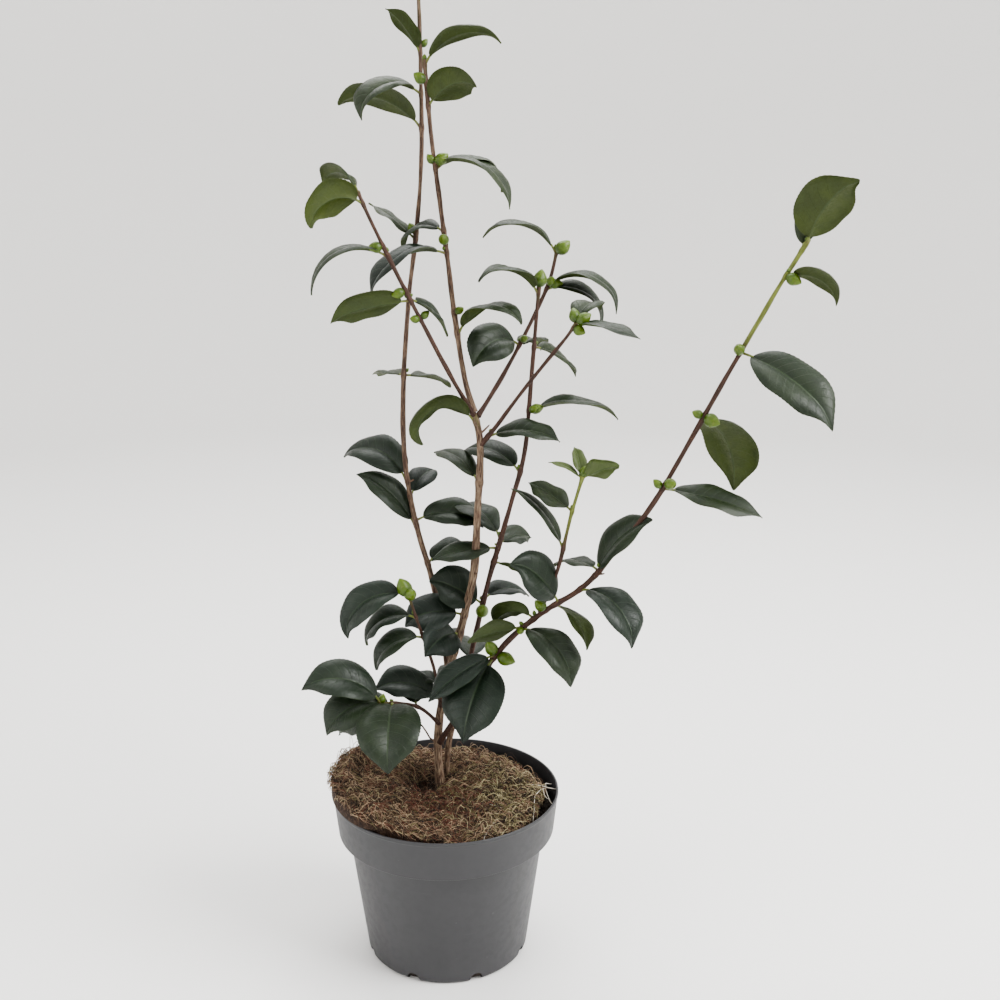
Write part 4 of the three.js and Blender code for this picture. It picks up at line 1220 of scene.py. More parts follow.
class SHRUB_OT_add_mat(bpy.types.Operator):
    """Add the coconut-fibre mat: its dark depth and the fibres that lie on it"""
    bl_idname = "shrub.add_mat"
    bl_label = "Fibre mat"

    seed = 23
    # The mat's body: its grid, how far it lies under the fibres, and its skirt down to the soil.
    spokes = 144
    rings = 46
    first_ring = 0.0001
    sunk = 2.2
    rough = 0.5
    skirt_lift = 0.5
    skirt_share = 0.8
    roll_from = 0.3
    # The fibres: how they bend, bow and tilt, how deep they lie, and how they hang over the edge.
    joints = 6
    curl = 0.26
    bow = (1.4, 1.9)
    tilt = 3.2
    level = (-1.8, 1.2)
    settled = 0.8
    margin = 2
    overhang = 1
    hang = 0.22
    lengths = (0.5, 1.6)
    widths = (0.6, 1.35)
    taper = (0.5, 0.85, 1, 1, 1, 0.85, 0.45)
    flat_side = (0.01, 0.02, 1)
    corners = (90, 210, 330)
    # The share of the fibres that the hollow lacks in its middle, which bares the mat's dark depth there
    # as painted shade.
    bare = 0.85
    thread_joints = 12
    thread_wander = 0.25
    thread_radius = 0.5
    thread_colour = (0.62, 0.58, 0.5)

    def depth_mesh(self, mat, rng):
        """The mat's body, which the fibres cover."""
        heading = np.linspace(0, 2 * np.pi, self.spokes, endpoint=False)
        edge = mat_edge(mat, heading)
        share = np.sqrt(np.linspace(self.first_ring, 1, self.rings))[:, None]
        x, y = share * edge * np.cos(heading), share * edge * np.sin(heading)
        z = mat_top(mat, x, y) - self.sunk + rng.normal(0, self.rough, x.shape)
        low = mat.soil_top / MM + self.skirt_lift
        foot = np.where(roll_share(heading) > self.roll_from, ROLL_FOOT, low)
        skirt = np.stack([x[-1], y[-1], np.minimum(z[-1], foot)], -1)
        under = np.stack([x[-1] * self.skirt_share, y[-1] * self.skirt_share, np.full(self.spokes, low)], -1)
        points = np.concatenate([np.stack([x, y, z], -1), skirt[None], under[None]])
        maker = MeshMaker()
        maker.grid(points, closed=True, flip=True, ends=True)
        return maker.mesh("coir_depth", mapped=False)

    def lay(self, mat, rng, count, length):
        """Middle lines of fibres that wander over the mat."""
        heading = rng.uniform(0, 2 * np.pi, count)
        radius = np.sqrt(rng.uniform(0, 1, count)) * (mat_edge(mat, heading) - self.margin)
        turns = rng.normal(0, self.curl, (count, self.joints))
        turns[:, 0] = rng.uniform(0, 2 * np.pi, count)
        way = np.cumsum(turns, 1)[:, :-1]
        step = (length / (self.joints - 1))[:, None]
        x = np.cumsum(np.column_stack([radius * np.cos(heading), np.cos(way) * step]), 1)
        y = np.cumsum(np.column_stack([radius * np.sin(heading), np.sin(way) * step]), 1)
        reach, around = np.hypot(x, y), np.arctan2(y, x)
        most = mat_edge(mat, around) + self.overhang
        reach = np.where(reach > most, most + self.hang * (reach - most), reach)
        x, y = reach * np.cos(around), reach * np.sin(around)
        share = np.linspace(0, 1, self.joints)
        bow = rng.gamma(*self.bow, (count, 1)) * np.sin(np.pi * share)
        tilt = rng.normal(0, self.tilt, (count, 1)) * (share - 0.5)
        z = mat_top(mat, x, y) - self.settled + rng.uniform(*self.level, (count, 1)) + bow + tilt
        return np.stack([x, y, z], -1)

    def fibre_mesh(self, name, lines, radii):
        """Thin three-sided fibres along many lines, as one mesh."""
        joints = lines.shape[1]
        along = unit(np.gradient(lines, axis=1))
        side = unit(np.cross(along, self.flat_side))
        rise = np.cross(side, along)
        angle = np.radians(self.corners)[:, None]
        ring = side[:, :, None] * np.cos(angle) + rise[:, :, None] * np.sin(angle)
        taper = np.interp(np.linspace(0, 1, joints), np.linspace(0, 1, len(self.taper)), self.taper)
        points = lines[:, :, None] + ring * (radii[:, None] * taper)[..., None, None]
        number = np.arange(points[..., 0].size).reshape(points.shape[:3])
        ahead = np.roll(number, -1, 2)
        walls = np.stack([number[:, :-1], ahead[:, :-1], ahead[:, 1:], number[:, 1:]], -1).reshape(-1, 4)
        caps = np.concatenate([number[:, 0, ::-1], number[:, -1]])
        spots = [np.zeros((*block.shape, 2)) for block in (walls, caps)]
        maker = MeshMaker()
        maker.add(points.reshape(-1, 3), [walls, caps], spots, 0, {})
        return maker.mesh(name, mapped=False)

    def nearness(self, mat, lines, part):
        """How near each fibre lies to a part of the mat, from 0 to 1."""
        *seen, reach = part
        middle = at_height(*seen, mat.crown / MM)
        off = lines[:, self.joints // 2, :2] - middle[:2]
        return np.exp(-(off ** 2).sum(1) / (2 * reach ** 2))

    def tone_of(self, mat, lines, rng):
        """Picks a colour for each fibre by where it lies."""
        straw, russet, hollow = (
            self.nearness(mat, lines, part) for part in (STRAW_PART, RUSSET_PART, HOLLOW[:3]))
        weights = []
        # Painted shade: in the hollow the dark umber fibres are picked most.
        for _, everywhere, in_straw, in_russet, in_hollow in FIBRE_TONES.values():
            around = everywhere * (1 - straw) * (1 - russet) + in_straw * straw + in_russet * russet
            weights.append(around * (1 - hollow) + in_hollow * hollow)
        chance = np.cumsum(np.array(weights), 0)
        return (rng.uniform(0, 1, len(lines)) * chance[-1] > chance).sum(0)

    def execute(self, context):
        mat = context.scene.shrub_mat
        rng = np.random.default_rng(self.seed)
        add_piece("coir_depth", self.depth_mesh(mat, rng), [mat_finish(mat)], ["fibre_mat"])
        lengths = mat.fibre_length / MM * rng.uniform(*self.lengths, mat.fibres)
        lines = self.lay(mat, rng, mat.fibres, lengths)
        lines = lines[rng.uniform(0, 1, mat.fibres) > self.bare * self.nearness(mat, lines, HOLLOW[:3])]
        radii = mat.fibre_radius / MM * rng.uniform(*self.widths, len(lines))
        tones = self.tone_of(mat, lines, rng)
        for number, (name, (colour, *_)) in enumerate(FIBRE_TONES.items()):
            chosen = tones == number
            mesh = self.fibre_mesh(f"coir_{name}", lines[chosen], radii[chosen])
            add_piece(f"coir_{name}", mesh, [plain_finish(f"coir_{name}", colour, 0.8)])
        threads = []
        for route in THREADS:
            spots = []
            for across, down, lift in route:
                x, y, _ = at_height(across, down, mat.edge / MM + lift)
                spots.append((x, y, lift))
            line = even_steps(smooth_line(spots), 1)[1]
            line = line[np.linspace(0, len(line) - 1, self.thread_joints).round().astype(int)]
            line[:, :2] += rng.normal(0, self.thread_wander, (self.thread_joints, 2))
            line[:, 2] += mat_top(mat, line[:, 0], line[:, 1])
            threads.append(line)
        mesh = self.fibre_mesh("white_threads", np.array(threads), np.full(len(threads), self.thread_radius))
        add_piece("white_threads", mesh, [plain_finish("white_thread", self.thread_colour, 0.7)])
        return {"FINISHED"}


def swell_at(places, joints, reach):
    """A bump at each joint along a limb, 1 high."""
    found = np.zeros(len(places))
    for joint in joints:
        found = np.maximum(found, np.exp(-((places - joint) / reach) ** 2))
    return found


def limb_joints(name):
    """Where leaves and buds leave a limb."""
    joints = [row[0] for limb, _, rows in MASSES.values() if limb == name for row in rows]
    return joints + [bud[1] for bud in BUDS if bud[0] == name]


class SHRUB_OT_add_limbs(bpy.types.Operator):
    """Add the stems, boughs and twigs, with the bark's relief"""
    bl_idname = "shrub.add_limbs"
    bl_label = "Limbs"

    seed = 31
    # How much a stem widens at its foot, and a bough where it leaves its stem, and how far that goes.
    flare = 2.4
    flare_reach = 16
    collar = 1.1
    collar_reach = 7
    sway = 0.2
    sway_reach = (23, 9)
    knot_reach = 3.2
    green_reach = 45
    # The bark's ridges: how long they are, how far each spreads round the limb, the radius at which
    # they are full, and the least share of them on a thin limb.
    ridge_span = 9
    ridge_length = 5
    ridge_spread = 0.6
    ridge_full = 4
    ridge_least = 0.4
    tip_least = 0.02
    bark_lengths = 1000
    # Stubs: how deep they are set, their bends, and how they thin.
    stub_depth = 1.2
    stub_bends = 6
    stub_bend = 0.12
    stub_step = 1.5
    stub_thins = 0.6
    stub_tip = 0.5
    stub_sides = 8
    stub_room = (0, 0, 0.02, 0.02)
    stub_spot = (1, 2, 400)
    stub_pale = 0.2

    def relief(self, shape, rng):
        """Long shallow ridges round a limb, about 1 high."""
        rough = rng.standard_normal(shape)
        span = np.arange(-self.ridge_span, self.ridge_span + 1)
        kernel = np.exp(-(span / self.ridge_length) ** 2)
        for _ in range(2):
            rough = np.apply_along_axis(lambda line: np.convolve(line, kernel, mode="same"), 0, rough)
        rough = rough + self.ridge_spread * (np.roll(rough, 1, 1) + np.roll(rough, -1, 1))
        return rough / rough.std()

    def limb_mesh(self, limb, settings, rng):
        sides = settings.sides
        knots = swell_at(limb.places, limb_joints(limb.name), self.knot_reach)
        radii = limb.radii + settings.knot / MM * knots
        first, second = rng.uniform(0, 2 * np.pi, 2)
        slow, quick = self.sway_reach
        radii += self.sway * np.sin(limb.places / slow + first) * np.sin(limb.places / quick + second)
        if limb.name in FLARED:
            radii += self.flare * np.exp(-limb.places / self.flare_reach)
        else:
            radii += self.collar * np.exp(-limb.places / self.collar_reach)
        thin = np.clip(limb.radii / self.ridge_full, self.ridge_least, 1)[:, None]
        rings = radii[:, None] + settings.relief / MM * thin * self.relief((len(radii), sides), rng)
        tip = np.clip((limb.length - limb.places) / limb.radii[-1], 0, 1)
        rings = rings * np.sqrt(np.maximum(1 - (1 - tip) ** 2, self.tip_least))[:, None]
        points = tube(limb.points, rings, sides)
        angle = np.linspace(0, 2 * np.pi, sides, endpoint=False)
        around = np.broadcast_to(radii[:, None], rings.shape)
        along = np.broadcast_to(limb.places[:, None], rings.shape) + self.bark_lengths * rng.uniform()
        place = np.stack([around * np.cos(angle), around * np.sin(angle), along], -1)
        turning = GREEN_FROM.get(limb.name, (limb.length - self.green_reach, limb.length + self.green_reach))
        age = 1 - smooth(*turning, limb.places)
        near, far, *places = PALENESS.get(limb.name, (0, 0, 0, 1))
        pale = near + (far - near) * smooth(*places, limb.places)
        maker = MeshMaker(bark_place=3, age=1, pale=1)
        strips = max(1, round(math.sqrt(limb.length / (2 * math.pi * limb.radii.mean()))))
        age, pale = (np.broadcast_to(mark[:, None], rings.shape) for mark in (age, pale))
        maker.grid(points, closed=True, ends=True, strips=strips, bark_place=place, age=age, pale=pale)
        return maker

    def add_stubs(self, makers, limbs, rng):
        """Short dead shoots, each on the mesh of the limb that bears it."""
        for name, place, heading, rise, length, thick in STUBS:
            direction = towards(heading, rise)
            foot = limbs[name].bark_at(place, direction, self.stub_depth)
            bends = [direction + rng.normal(0, self.stub_bend, 3) for _ in range(self.stub_bends)]
            line = np.vstack([foot, foot + np.cumsum(bends, 0) * length / self.stub_bends])
            places, line = even_steps(line, self.stub_step)
            radii = np.linspace(thick, thick * self.stub_thins, len(line)) / 2
            radii[-1] *= self.stub_tip
            grid = tube(line, radii, self.stub_sides)
            spot = np.broadcast_to(places[:, None, None], grid.shape) * [0, 0, 1] + self.stub_spot
            makers[name].grid(grid, closed=True, ends=True, room=self.stub_room, bark_place=spot, age=1.0,
                              pale=self.stub_pale)

    def execute(self, context):
        settings = context.scene.shrub_limbs
        rng = np.random.default_rng(self.seed)
        finishes = {slot: bark_finish(slot, settings) for slot in ("bark", "dark_bark", "young_bark")}
        limbs = all_limbs(settings.step / MM)
        makers = {name: self.limb_mesh(limb, settings, rng) for name, limb in limbs.items()}
        self.add_stubs(makers, limbs, rng)
        for name, limb in limbs.items():
            mesh = makers[name].mesh(f"bark_{name}")
            add_piece(f"bark_{name}", mesh, [finishes[limb.bark]], [name])
        return {"FINISHED"}


# Rows along a stalk, how deep its foot is set in the bark, and where along a leaf its own twist is 0.
STALK_ROWS = 8
STALK_DEPTH = 1.0
TWIST_STILL = 0.4

# How leaves differ: the least and the most of each measure, against its usual value.
BROADEST_RANGE = (0.95, 1.06)
FULLNESS_RANGE = (0.93, 1.07)
FOLD_RANGE = (0.5, 1.5)
CUP_RANGE = (0.7, 1.4)
WAVE_RANGE = (0.4, 1.3)
# How many waves a margin has, and how uneven a blade's two halves are.
WAVES_RANGE = (1.2, 2.6)
UNEVEN = 0.03

# The shares of the blade's length over which its foot widens, and its teeth come and go.
FOOT_UNTIL = 0.2
TEETH_FROM = (0.06, 0.2)
TEETH_UNTIL = (0.93, 1)
TEETH_POWER = 7

# The blade's relief: how round it is and how its margin turns down, as shares of its half width; how
# far side veins lean forward and the blade swells between them; and the groove over its midrib.
CUP_POWER = 2.6
CUP_GAIN = 1.6
MARGIN_DROP = 0.12
MARGIN_POWER = 5
VEIN_LEAN = 0.9
VEIN_SHIFT = 0.5
VEIN_SWELL = 0.16
VEIN_FROM = 0.1
BROAD_HALF = 20
GROOVE = 0.5
GROOVE_WIDTH = 1.2
GROOVE_FULL = 8

# The blade's thickness: how much it thins at the margin, and its midrib's height and width beneath.
EDGE_THINS = 0.35
EDGE_POWER = 6
MIDRIB = 0.75
MIDRIB_WIDTH = 1.1
MIDRIB_FADES = 0.75


class Leaf:
    """A leaf grown from its pose: its midrib, with the directions along, across and up from the blade."""

    def __init__(self, limb, row, rng):
        place, heading, pose, self.length, self.width, lean = row
        rise, droop = POSES[pose]
        more_rise, more_droop, turn, curl = rng.normal(0, LEAF_STRAY)
        hook = rng.uniform(*LEAF_HOOK)
        self.rng = rng
        share = np.concatenate([np.linspace(0, STALK_SHARE, STALK_ROWS, endpoint=False),
                                np.linspace(STALK_SHARE, 1, LEAF_TEETH * ROWS_PER_TOOTH + 1)])
        bend = (droop + more_droop) * share
        pitch = np.radians(rise + more_rise - bend - hook * smooth(HOOK_FROM, 1, share))
        yaw = np.radians(heading + turn * share)
        along = np.stack([np.cos(pitch) * np.cos(yaw), np.cos(pitch) * np.sin(yaw), np.sin(pitch)], -1)
        across = np.stack([-np.sin(yaw), np.cos(yaw), 0 * yaw], -1)
        twist = math.radians(lean) + math.radians(curl) * (share - TWIST_STILL)[:, None]
        across = turned_about(across, along, twist)
        foot = limb.bark_at(place, towards(heading, 0), STALK_DEPTH)
        steps = along[:-1] * np.diff(share)[:, None] * self.length
        points = np.vstack([foot, foot + np.cumsum(steps, 0)])
        self.stalk = points[:STALK_ROWS + 2]
        blade = slice(STALK_ROWS, None)
        self.points, self.along, self.across = points[blade], along[blade], across[blade]
        self.up = np.cross(self.along, self.across)
        self.share = (share[blade] - STALK_SHARE) / (1 - STALK_SHARE)

    def half_widths(self, settings):
        """Half the blade's width at each row, and how far its teeth stand out there."""
        share, rng = self.share, self.rng
        broadest, fullness = BROADEST * rng.uniform(*BROADEST_RANGE), FULLNESS * rng.uniform(*FULLNESS_RANGE)
        drawn = 1 - TIP_DRAW * smooth(TIP_FROM, 1, share)
        half = self.width / 2 * np.sin(np.pi * share ** broadest) ** fullness * drawn
        teeth = (np.arange(len(share)) % ROWS_PER_TOOTH) / (ROWS_PER_TOOTH - 1) - 0.5
        teeth = teeth * settings.serration / MM * smooth(*TEETH_FROM, share)
        teeth = teeth * (1 - smooth(*TEETH_UNTIL, share))
        least = FOOT_HALF_WIDTH + (LEAST_HALF_WIDTH - FOOT_HALF_WIDTH) * smooth(0, FOOT_UNTIL, share)
        return np.maximum(half, least), teeth

    def sheets(self, settings):
        """Grids of the upper and under faces, and the blade's marks."""
        rng = self.rng
        column = np.array(BLADE_COLUMNS, float)
        off = np.abs(column)
        half, teeth = self.half_widths(settings)
        side = np.sign(column) * (1 + rng.normal(0, UNEVEN) * np.sign(column))
        out = half[:, None] * side * off + teeth[:, None] * column ** TEETH_POWER
        share = self.share[:, None]
        fold = settings.fold * rng.uniform(*FOLD_RANGE) * (1 - 0.5 * share)
        cup = settings.cup * rng.uniform(*CUP_RANGE)
        phases = rng.uniform(0, 2 * np.pi, 2)
        runs = rng.uniform(*WAVES_RANGE, 2)
        phase, run = (np.where(column < 0, *pair) for pair in (phases, runs))
        wide = half[:, None]
        height = fold * wide * off + cup * wide * (off - off ** CUP_POWER) * CUP_GAIN
        height -= MARGIN_DROP * wide * off ** MARGIN_POWER
        wave = settings.wave / MM * rng.uniform(*WAVE_RANGE)
        height += wave * np.sin(2 * np.pi * run * share + phase) * off ** 2
        count = (self.share * self.length / VEIN_PITCH)[:, None] - VEIN_LEAN * off - VEIN_LEAN * off ** 2
        count = count + np.where(column < 0, VEIN_SHIFT * (off > 0), 0)
        swell = VEIN_SWELL * np.cos(2 * np.pi * count) * 4 * off * (1 - off)
        height -= swell * smooth(0, VEIN_FROM, share) * (wide / BROAD_HALF)
        height -= GROOVE * np.exp(-(off * wide / GROOVE_WIDTH) ** 2) * np.minimum(1, wide / GROOVE_FULL)
        lean = 1 / np.sqrt(1 + fold ** 2)
        upper = (self.points[:, None] + self.across[:, None] * (out * lean)[..., None]
                 + self.up[:, None] * height[..., None])
        thick = settings.thickness / MM * (1 - EDGE_THINS * off ** EDGE_POWER)
        midrib = MIDRIB * np.exp(-(off * wide / MIDRIB_WIDTH) ** 2) * (1 - MIDRIB_FADES * share)
        under = upper - self.up[:, None] * (thick + midrib)[..., None]
        marks = np.stack([np.broadcast_to(column, upper.shape[:2]),
                          np.broadcast_to(share * self.length, upper.shape[:2]), count], -1)
        return upper, under, marks


def around_edge(grid):
    """The outer line of a grid of points, once round."""
    return np.concatenate([grid[:-1, 0], grid[-1, :-1], grid[:0:-1, -1], grid[0, :0:-1]])


class SHRUB_OT_add_leaves(bpy.types.Operator):
    """Add the leaves, one piece for each mass of foliage, and their stalks"""
    bl_idname = "shrub.add_leaves"
    bl_label = "Leaves"

    seed = 47
    stalk_sides = 8
    stalk_radii = (1.35, 1.0)
    # Each face's share of a leaf's room on the bake map, and the gap between them.
    face_share = 0.49
    face_gap = 0.01
    tone_spread = 0.14
    young_bright = 1.25
    under_rough = 0.55
    young_rough = 0.4

    def add_leaf(self, maker, leaf, settings, tone, room):
        """One leaf: its upper face, its under face and the thin edge between them."""
        upper, under, marks = leaf.sheets(settings)
        young = leaf.length < YOUNG_LENGTH
        faces = (2, 2) if young else (0, 1)
        left, bottom, right, top = room
        middle = bottom + self.face_share * (top - bottom)
        maker.grid(upper, faces[0], flip=True, room=(left, bottom, right, middle), blade=marks, tone=tone)
        maker.grid(under, faces[1], room=(left, middle + self.face_gap, right, top), blade=marks, tone=tone)
        edge = np.stack([around_edge(under), around_edge(upper)])
        around = around_edge(marks)
        maker.grid(edge, faces[1], closed=True, flip=True, room=(left, top, right, top), tone=tone,
                   blade=np.stack([around, around]))

    def execute(self, context):
        settings = context.scene.shrub_leaves
        rng = np.random.default_rng(self.seed)
        young, rib = settings.young, settings.rib
        finishes = [
            leaf_finish("leaf_upper", settings.blue_green, settings.olive, rib, settings.gloss, False),
            # The bright under green of this finish is painted light coming through backlit leaves.
            leaf_finish("leaf_under", settings.under, settings.under_lit_through, rib, self.under_rough, True),
            leaf_finish("leaf_young", young, tinted(young, self.young_bright), rib, self.young_rough, False),
        ]
        limbs = all_limbs()
        stalks = MeshMaker(run=1)
        stalk_rooms = iter(rooms(sum(len(rows) for _, _, rows in MASSES.values())))
        for name, (limb, tone, rows) in MASSES.items():
            maker = MeshMaker(blade=3, tone=1)
            for row, room in zip(rows, rooms(len(rows))):
                leaf = Leaf(limbs[limb], row, rng)
                # Painted light: a leaf's tone, from its mass, partly stands for light coming through it.
                own_tone_and_backlight = np.clip(tone + rng.normal(0, self.tone_spread), 0, 1)
                self.add_leaf(maker, leaf, settings, own_tone_and_backlight, room)
                radii = np.linspace(*self.stalk_radii, len(leaf.stalk))
                grid = tube(leaf.stalk, radii, self.stalk_sides)
                run = np.broadcast_to(np.linspace(0, 1, len(grid))[:, None], grid.shape[:2])
                stalks.grid(grid, closed=True, ends=True, room=next(stalk_rooms), run=run)
            piece = name.replace("foliage", "leaves")
            add_piece(piece, maker.mesh(piece), finishes, [name])
        add_piece("leaf_stalks", stalks.mesh("leaf_stalks"), [stalk_finish(settings)])
        return {"FINISHED"}


class SHRUB_OT_add_buds(bpy.types.Operator):
    """Add the flower buds with their scales, and the small leaf buds in the axils"""
    bl_idname = "shrub.add_buds"
    bl_label = "Buds"

    seed = 59
    # A bud's core: its grid, where it starts and ends, and the powers that give its outline.
    core_sides = 14
    core_rings = 11
    core_ends = (0.015, 0.985)
    widest_power = 0.8
    full_power = 0.7
    plump_range = (0.92, 1.08)
    tone_range = (0.75, 1)
    # Its scales: their grid, the foot and tip of the lowest one and how much higher the last one's
    # are, how wide, blunt and bowed they are, and how far they stand out on a bud of this length.
    scale_columns = 9
    scale_rows = 9
    scale_foot = (0.02, 0.1)
    scale_tip = (0.5, 0.47)
    scale_reach = 1.15
    scale_blunt = 3.2
    least_reach = 0.02
    scale_bow = 0.05
    scale_proud = (0.42, 0.2)
    scale_fall = 0.75
    tucked = 0.3
    tucked_from = 0.97
    usual_length = 12
    # A direction that no bud follows, from which its first side is taken.
    odd_direction = (0.31, 0.22, 0.92)
    flower_depth = 0.8
    # Small buds stand in some of the axils, a little above the leaf and steeper than it.
    axil_share = 0.55
    axil_stray = 8
    axil_steeper = 45
    axil_steepest = 85
    axil_above = 2.5
    axil_depth = 0.4
    axil_lengths = (3.2, 5.5)

    def girth(self, run, length, plumpness):
        """A bud's radius at a share of its length."""
        full = np.sin(np.pi * np.clip(run, 0, 1) ** self.widest_power)
        return length * plumpness / 2 * full ** self.full_power

    def add_bud(self, maker, foot, direction, length, settings, rng, room):
        """One bud: its core and the scales that lap round it."""
        side = unit(np.cross(direction, self.odd_direction))
        front = np.cross(direction, side)
        plumpness = settings.plumpness * rng.uniform(*self.plump_range)
        tone = rng.uniform(*self.tone_range)

        def spot(run, angle, proud):
            radius = self.girth(run, length, plumpness) + proud
            around = side * np.cos(angle)[..., None] + front * np.sin(angle)[..., None]
            return foot + direction * (run * length)[..., None] + around * radius[..., None]

        run = np.linspace(*self.core_ends, self.core_rings)
        angle = np.linspace(0, 2 * np.pi, self.core_sides, endpoint=False)
        run, angle = np.meshgrid(run, angle, indexing="ij")
        marks = np.stack([run, 0 * run, 0 * run + tone], -1)
        maker.grid(spot(run, angle, 0 * run), closed=True, ends=True, room=room, scale=marks)
        start = rng.uniform(0, 2 * np.pi)
        share, across = np.linspace(0, 1, self.scale_rows), np.linspace(-1, 1, self.scale_columns)
        share, across = np.meshgrid(share, across, indexing="ij")
        edge = np.maximum(np.abs(across), share)
        reach = self.scale_reach * np.sqrt(np.maximum(0, 1 - share ** self.scale_blunt)) + self.least_reach
        for number in range(settings.scales):
            level = number / (settings.scales - 1)
            low, high = (first + more * level for first, more in (self.scale_foot, self.scale_tip))
            height = low + (high - low) * (share - self.scale_bow * across ** 2 * share)
            proud = (self.scale_proud[0] - self.scale_proud[1] * level) * (1 - self.scale_fall * edge ** 4)
            proud = proud - self.tucked * (edge > self.tucked_from)
            angle = start + number * GOLDEN_ANGLE + across * reach
            marks = np.stack([height, edge, 0 * edge + tone], -1)
            maker.grid(spot(height, angle, proud * length / self.usual_length), room=room, scale=marks)

    def axil_bud(self, limb, row, rng):
        """The foot, direction and length of a small bud in a leaf's axil."""
        place, heading, pose, *_ = row
        rise = min(self.axil_steepest, POSES[pose][0] + self.axil_steeper)
        direction = towards(heading + rng.normal(0, self.axil_stray), rise)
        foot = limb.bark_at(place + self.axil_above, direction, self.axil_depth)
        return foot, direction, rng.uniform(*self.axil_lengths)

    def execute(self, context):
        settings = context.scene.shrub_buds
        rng = np.random.default_rng(self.seed)
        limbs = all_limbs()
        flowers = []
        for name, place, heading, rise, length in BUDS:
            direction = towards(heading, rise)
            flowers.append((limbs[name].bark_at(place, direction, self.flower_depth), direction, length))
        axils = []
        for name, _, rows in MASSES.values():
            for row in rows:
                if row[3] > YOUNG_LENGTH and rng.uniform() < self.axil_share:
                    axils.append(self.axil_bud(limbs[name], row, rng))
        finish = bud_finish(settings)
        for name, found in (("flower_buds", flowers), ("axil_buds", axils)):
            maker = MeshMaker(scale=3)
            for (foot, direction, length), room in zip(found, rooms(len(found))):
                self.add_bud(maker, foot, direction, length, settings, rng, room)
            add_piece(name, maker.mesh(name), [finish])
        return {"FINISHED"}


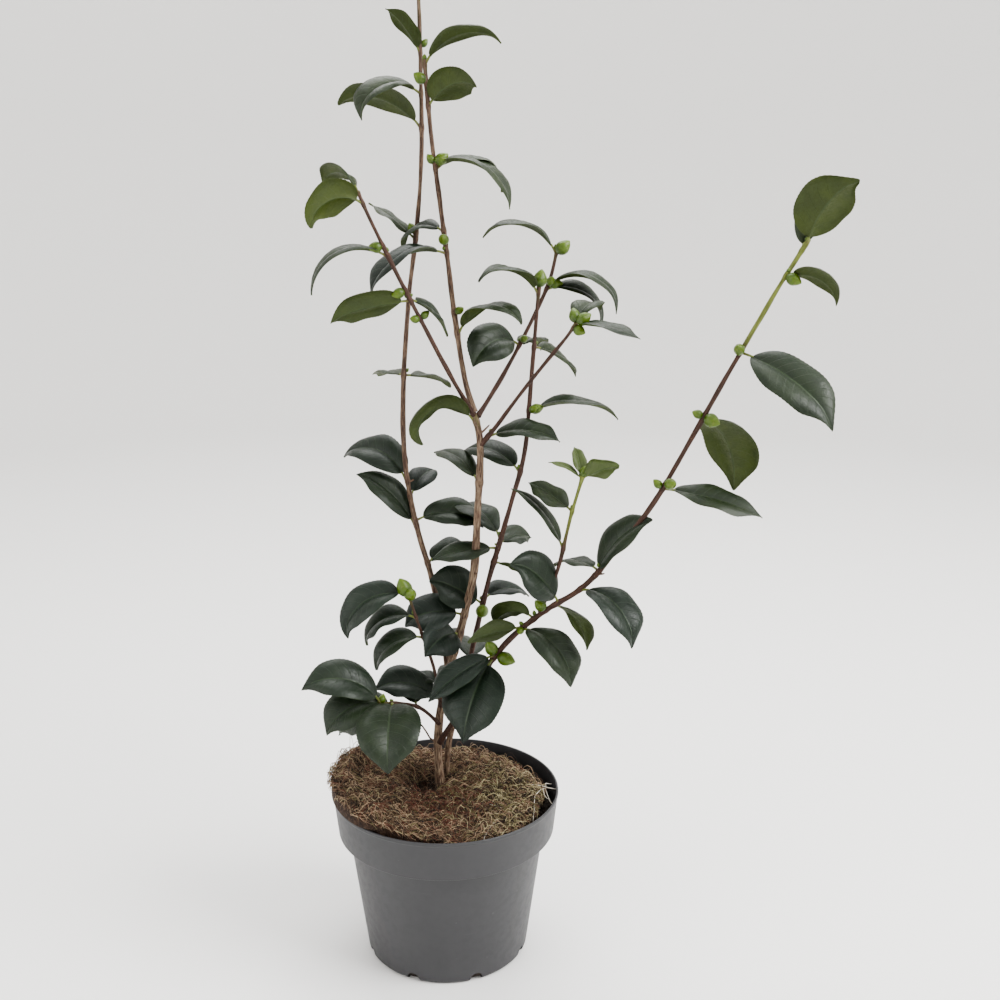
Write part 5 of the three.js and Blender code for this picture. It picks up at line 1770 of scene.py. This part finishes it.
class SHRUB_OT_add_stage(bpy.types.Operator):
    """Add the pale floor with its curved backdrop, the soft lights and the camera"""
    bl_idname = "shrub.add_stage"
    bl_label = "Stage"

    # The floor's rings and radius, the radius of its bend up into the wall, and the wall's height,
    # in millimetres.
    floor_rings = (1, 300, 900)
    floor_radius = 2600
    bend_radius = 1400
    bend_steps = 24
    wall_height = 4200
    floor_sides = 128
    sky_colour = (1, 0.985, 0.96)
    sensor = 36
    # Each light: its power setting, size in metres, place and aim.
    lights = {
        "key_light": ("key", 1.5, (1.7, -0.7, 1.9), (0.05, 0, 0.45)),
        "fill_light": ("fill", 1.8, (-1.9, -1.2, 1.2), (0.05, 0, 0.45)),
        "top_light": ("top", 1.6, (0.0, 0.9, 2.3), (0.05, 0, 0.45)),
    }

    def floor_mesh(self):
        """A round floor that bends up into a wall, so that it looks alike from all sides."""
        bend = np.linspace(0, np.pi / 2, self.bend_steps)
        profile = np.concatenate([
            [(radius, 0) for radius in self.floor_rings],
            np.stack([self.floor_radius + self.bend_radius * np.sin(bend),
                      self.bend_radius * (1 - np.cos(bend))], 1),
            [(self.floor_radius + self.bend_radius, self.wall_height)]])
        maker = MeshMaker()
        maker.grid(turned_grid(profile, self.floor_sides), closed=True, flip=True)
        return maker.mesh("floor", mapped=False)

    def add_light(self, name, power, size, place, aim):
        light = bpy.data.lights.new(name, "AREA")
        light.energy = power
        light.size = size
        lamp = bpy.data.objects.new(name, light)
        lamp.location = place
        direction = np.array(aim) - np.array(place)
        level = math.hypot(direction[0], direction[1])
        heading = math.atan2(direction[1], direction[0])
        lamp.rotation_euler = (math.atan2(level, -direction[2]), 0, heading - math.pi / 2)
        lamp.visible_camera = False
        bpy.context.scene.collection.objects.link(lamp)

    def execute(self, context):
        settings = context.scene.shrub_stage
        scene = context.scene
        floor = bpy.data.objects.new("floor", self.floor_mesh())
        floor.data.materials.append(plain_finish("pale_floor", settings.floor, 0.8))
        scene.collection.objects.link(floor)
        for name, (power, size, place, aim) in self.lights.items():
            self.add_light(name, getattr(settings, power), size, place, aim)
        world = bpy.data.worlds.new("soft_sky")
        world.use_nodes = True
        sky = world.node_tree.nodes["Background"].inputs
        sky["Color"].default_value = (*self.sky_colour, 1)
        sky["Strength"].default_value = settings.sky
        scene.world = world
        camera = bpy.data.objects.new("camera", bpy.data.cameras.new("camera"))
        camera.location = [value * MM for value in CAMERA_PLACE]
        camera.rotation_euler = (math.radians(90 - CAMERA_PITCH), 0, 0)
        camera.data.sensor_width = self.sensor
        camera.data.lens = FOCAL / PHOTO_SIZE * self.sensor
        scene.collection.objects.link(camera)
        scene.camera = camera
        scene.view_settings.look = "AgX - Medium High Contrast"
        return {"FINISHED"}


class SHRUB_PT_panel(bpy.types.Panel):
    """List the shrub's pieces and their settings"""
    bl_idname = "SHRUB_PT_panel"
    bl_label = "Camellia shrub"
    bl_space_type = "VIEW_3D"
    bl_region_type = "UI"
    bl_category = "Shrub"

    def draw(self, context):
        for operators, name in PANEL_ROWS:
            box = self.layout.box()
            for operator in operators:
                box.operator(operator.bl_idname)
            settings = getattr(context.scene, name)
            for label in settings.bl_rna.properties.keys():
                if label not in ("rna_type", "name"):
                    box.prop(settings, label)


SETTINGS = {
    "shrub_pot": PotSettings,
    "shrub_mat": MatSettings,
    "shrub_limbs": LimbSettings,
    "shrub_leaves": LeafSettings,
    "shrub_buds": BudSettings,
    "shrub_stage": StageSettings,
}
PANEL_ROWS = [
    ([SHRUB_OT_add_pot], "shrub_pot"),
    ([SHRUB_OT_add_soil, SHRUB_OT_add_mat], "shrub_mat"),
    ([SHRUB_OT_add_limbs], "shrub_limbs"),
    ([SHRUB_OT_add_leaves], "shrub_leaves"),
    ([SHRUB_OT_add_buds], "shrub_buds"),
    ([SHRUB_OT_add_stage], "shrub_stage"),
]
OPERATORS = [operator for operators, _ in PANEL_ROWS for operator in operators]


def register():
    for item in (*SETTINGS.values(), *OPERATORS, SHRUB_PT_panel):
        bpy.utils.register_class(item)
    for name, kind in SETTINGS.items():
        setattr(bpy.types.Scene, name, PointerProperty(type=kind))


def unregister():
    for name in SETTINGS:
        delattr(bpy.types.Scene, name)
    for item in (SHRUB_PT_panel, *reversed(OPERATORS), *reversed(SETTINGS.values())):
        bpy.utils.unregister_class(item)


def main():
    register()
    bpy.ops.shrub.add_stage()
    bpy.ops.shrub.add_pot()
    bpy.ops.shrub.add_soil()
    bpy.ops.shrub.add_mat()
    bpy.ops.shrub.add_limbs()
    bpy.ops.shrub.add_leaves()
    bpy.ops.shrub.add_buds()


if __name__ == "__main__":
    main()
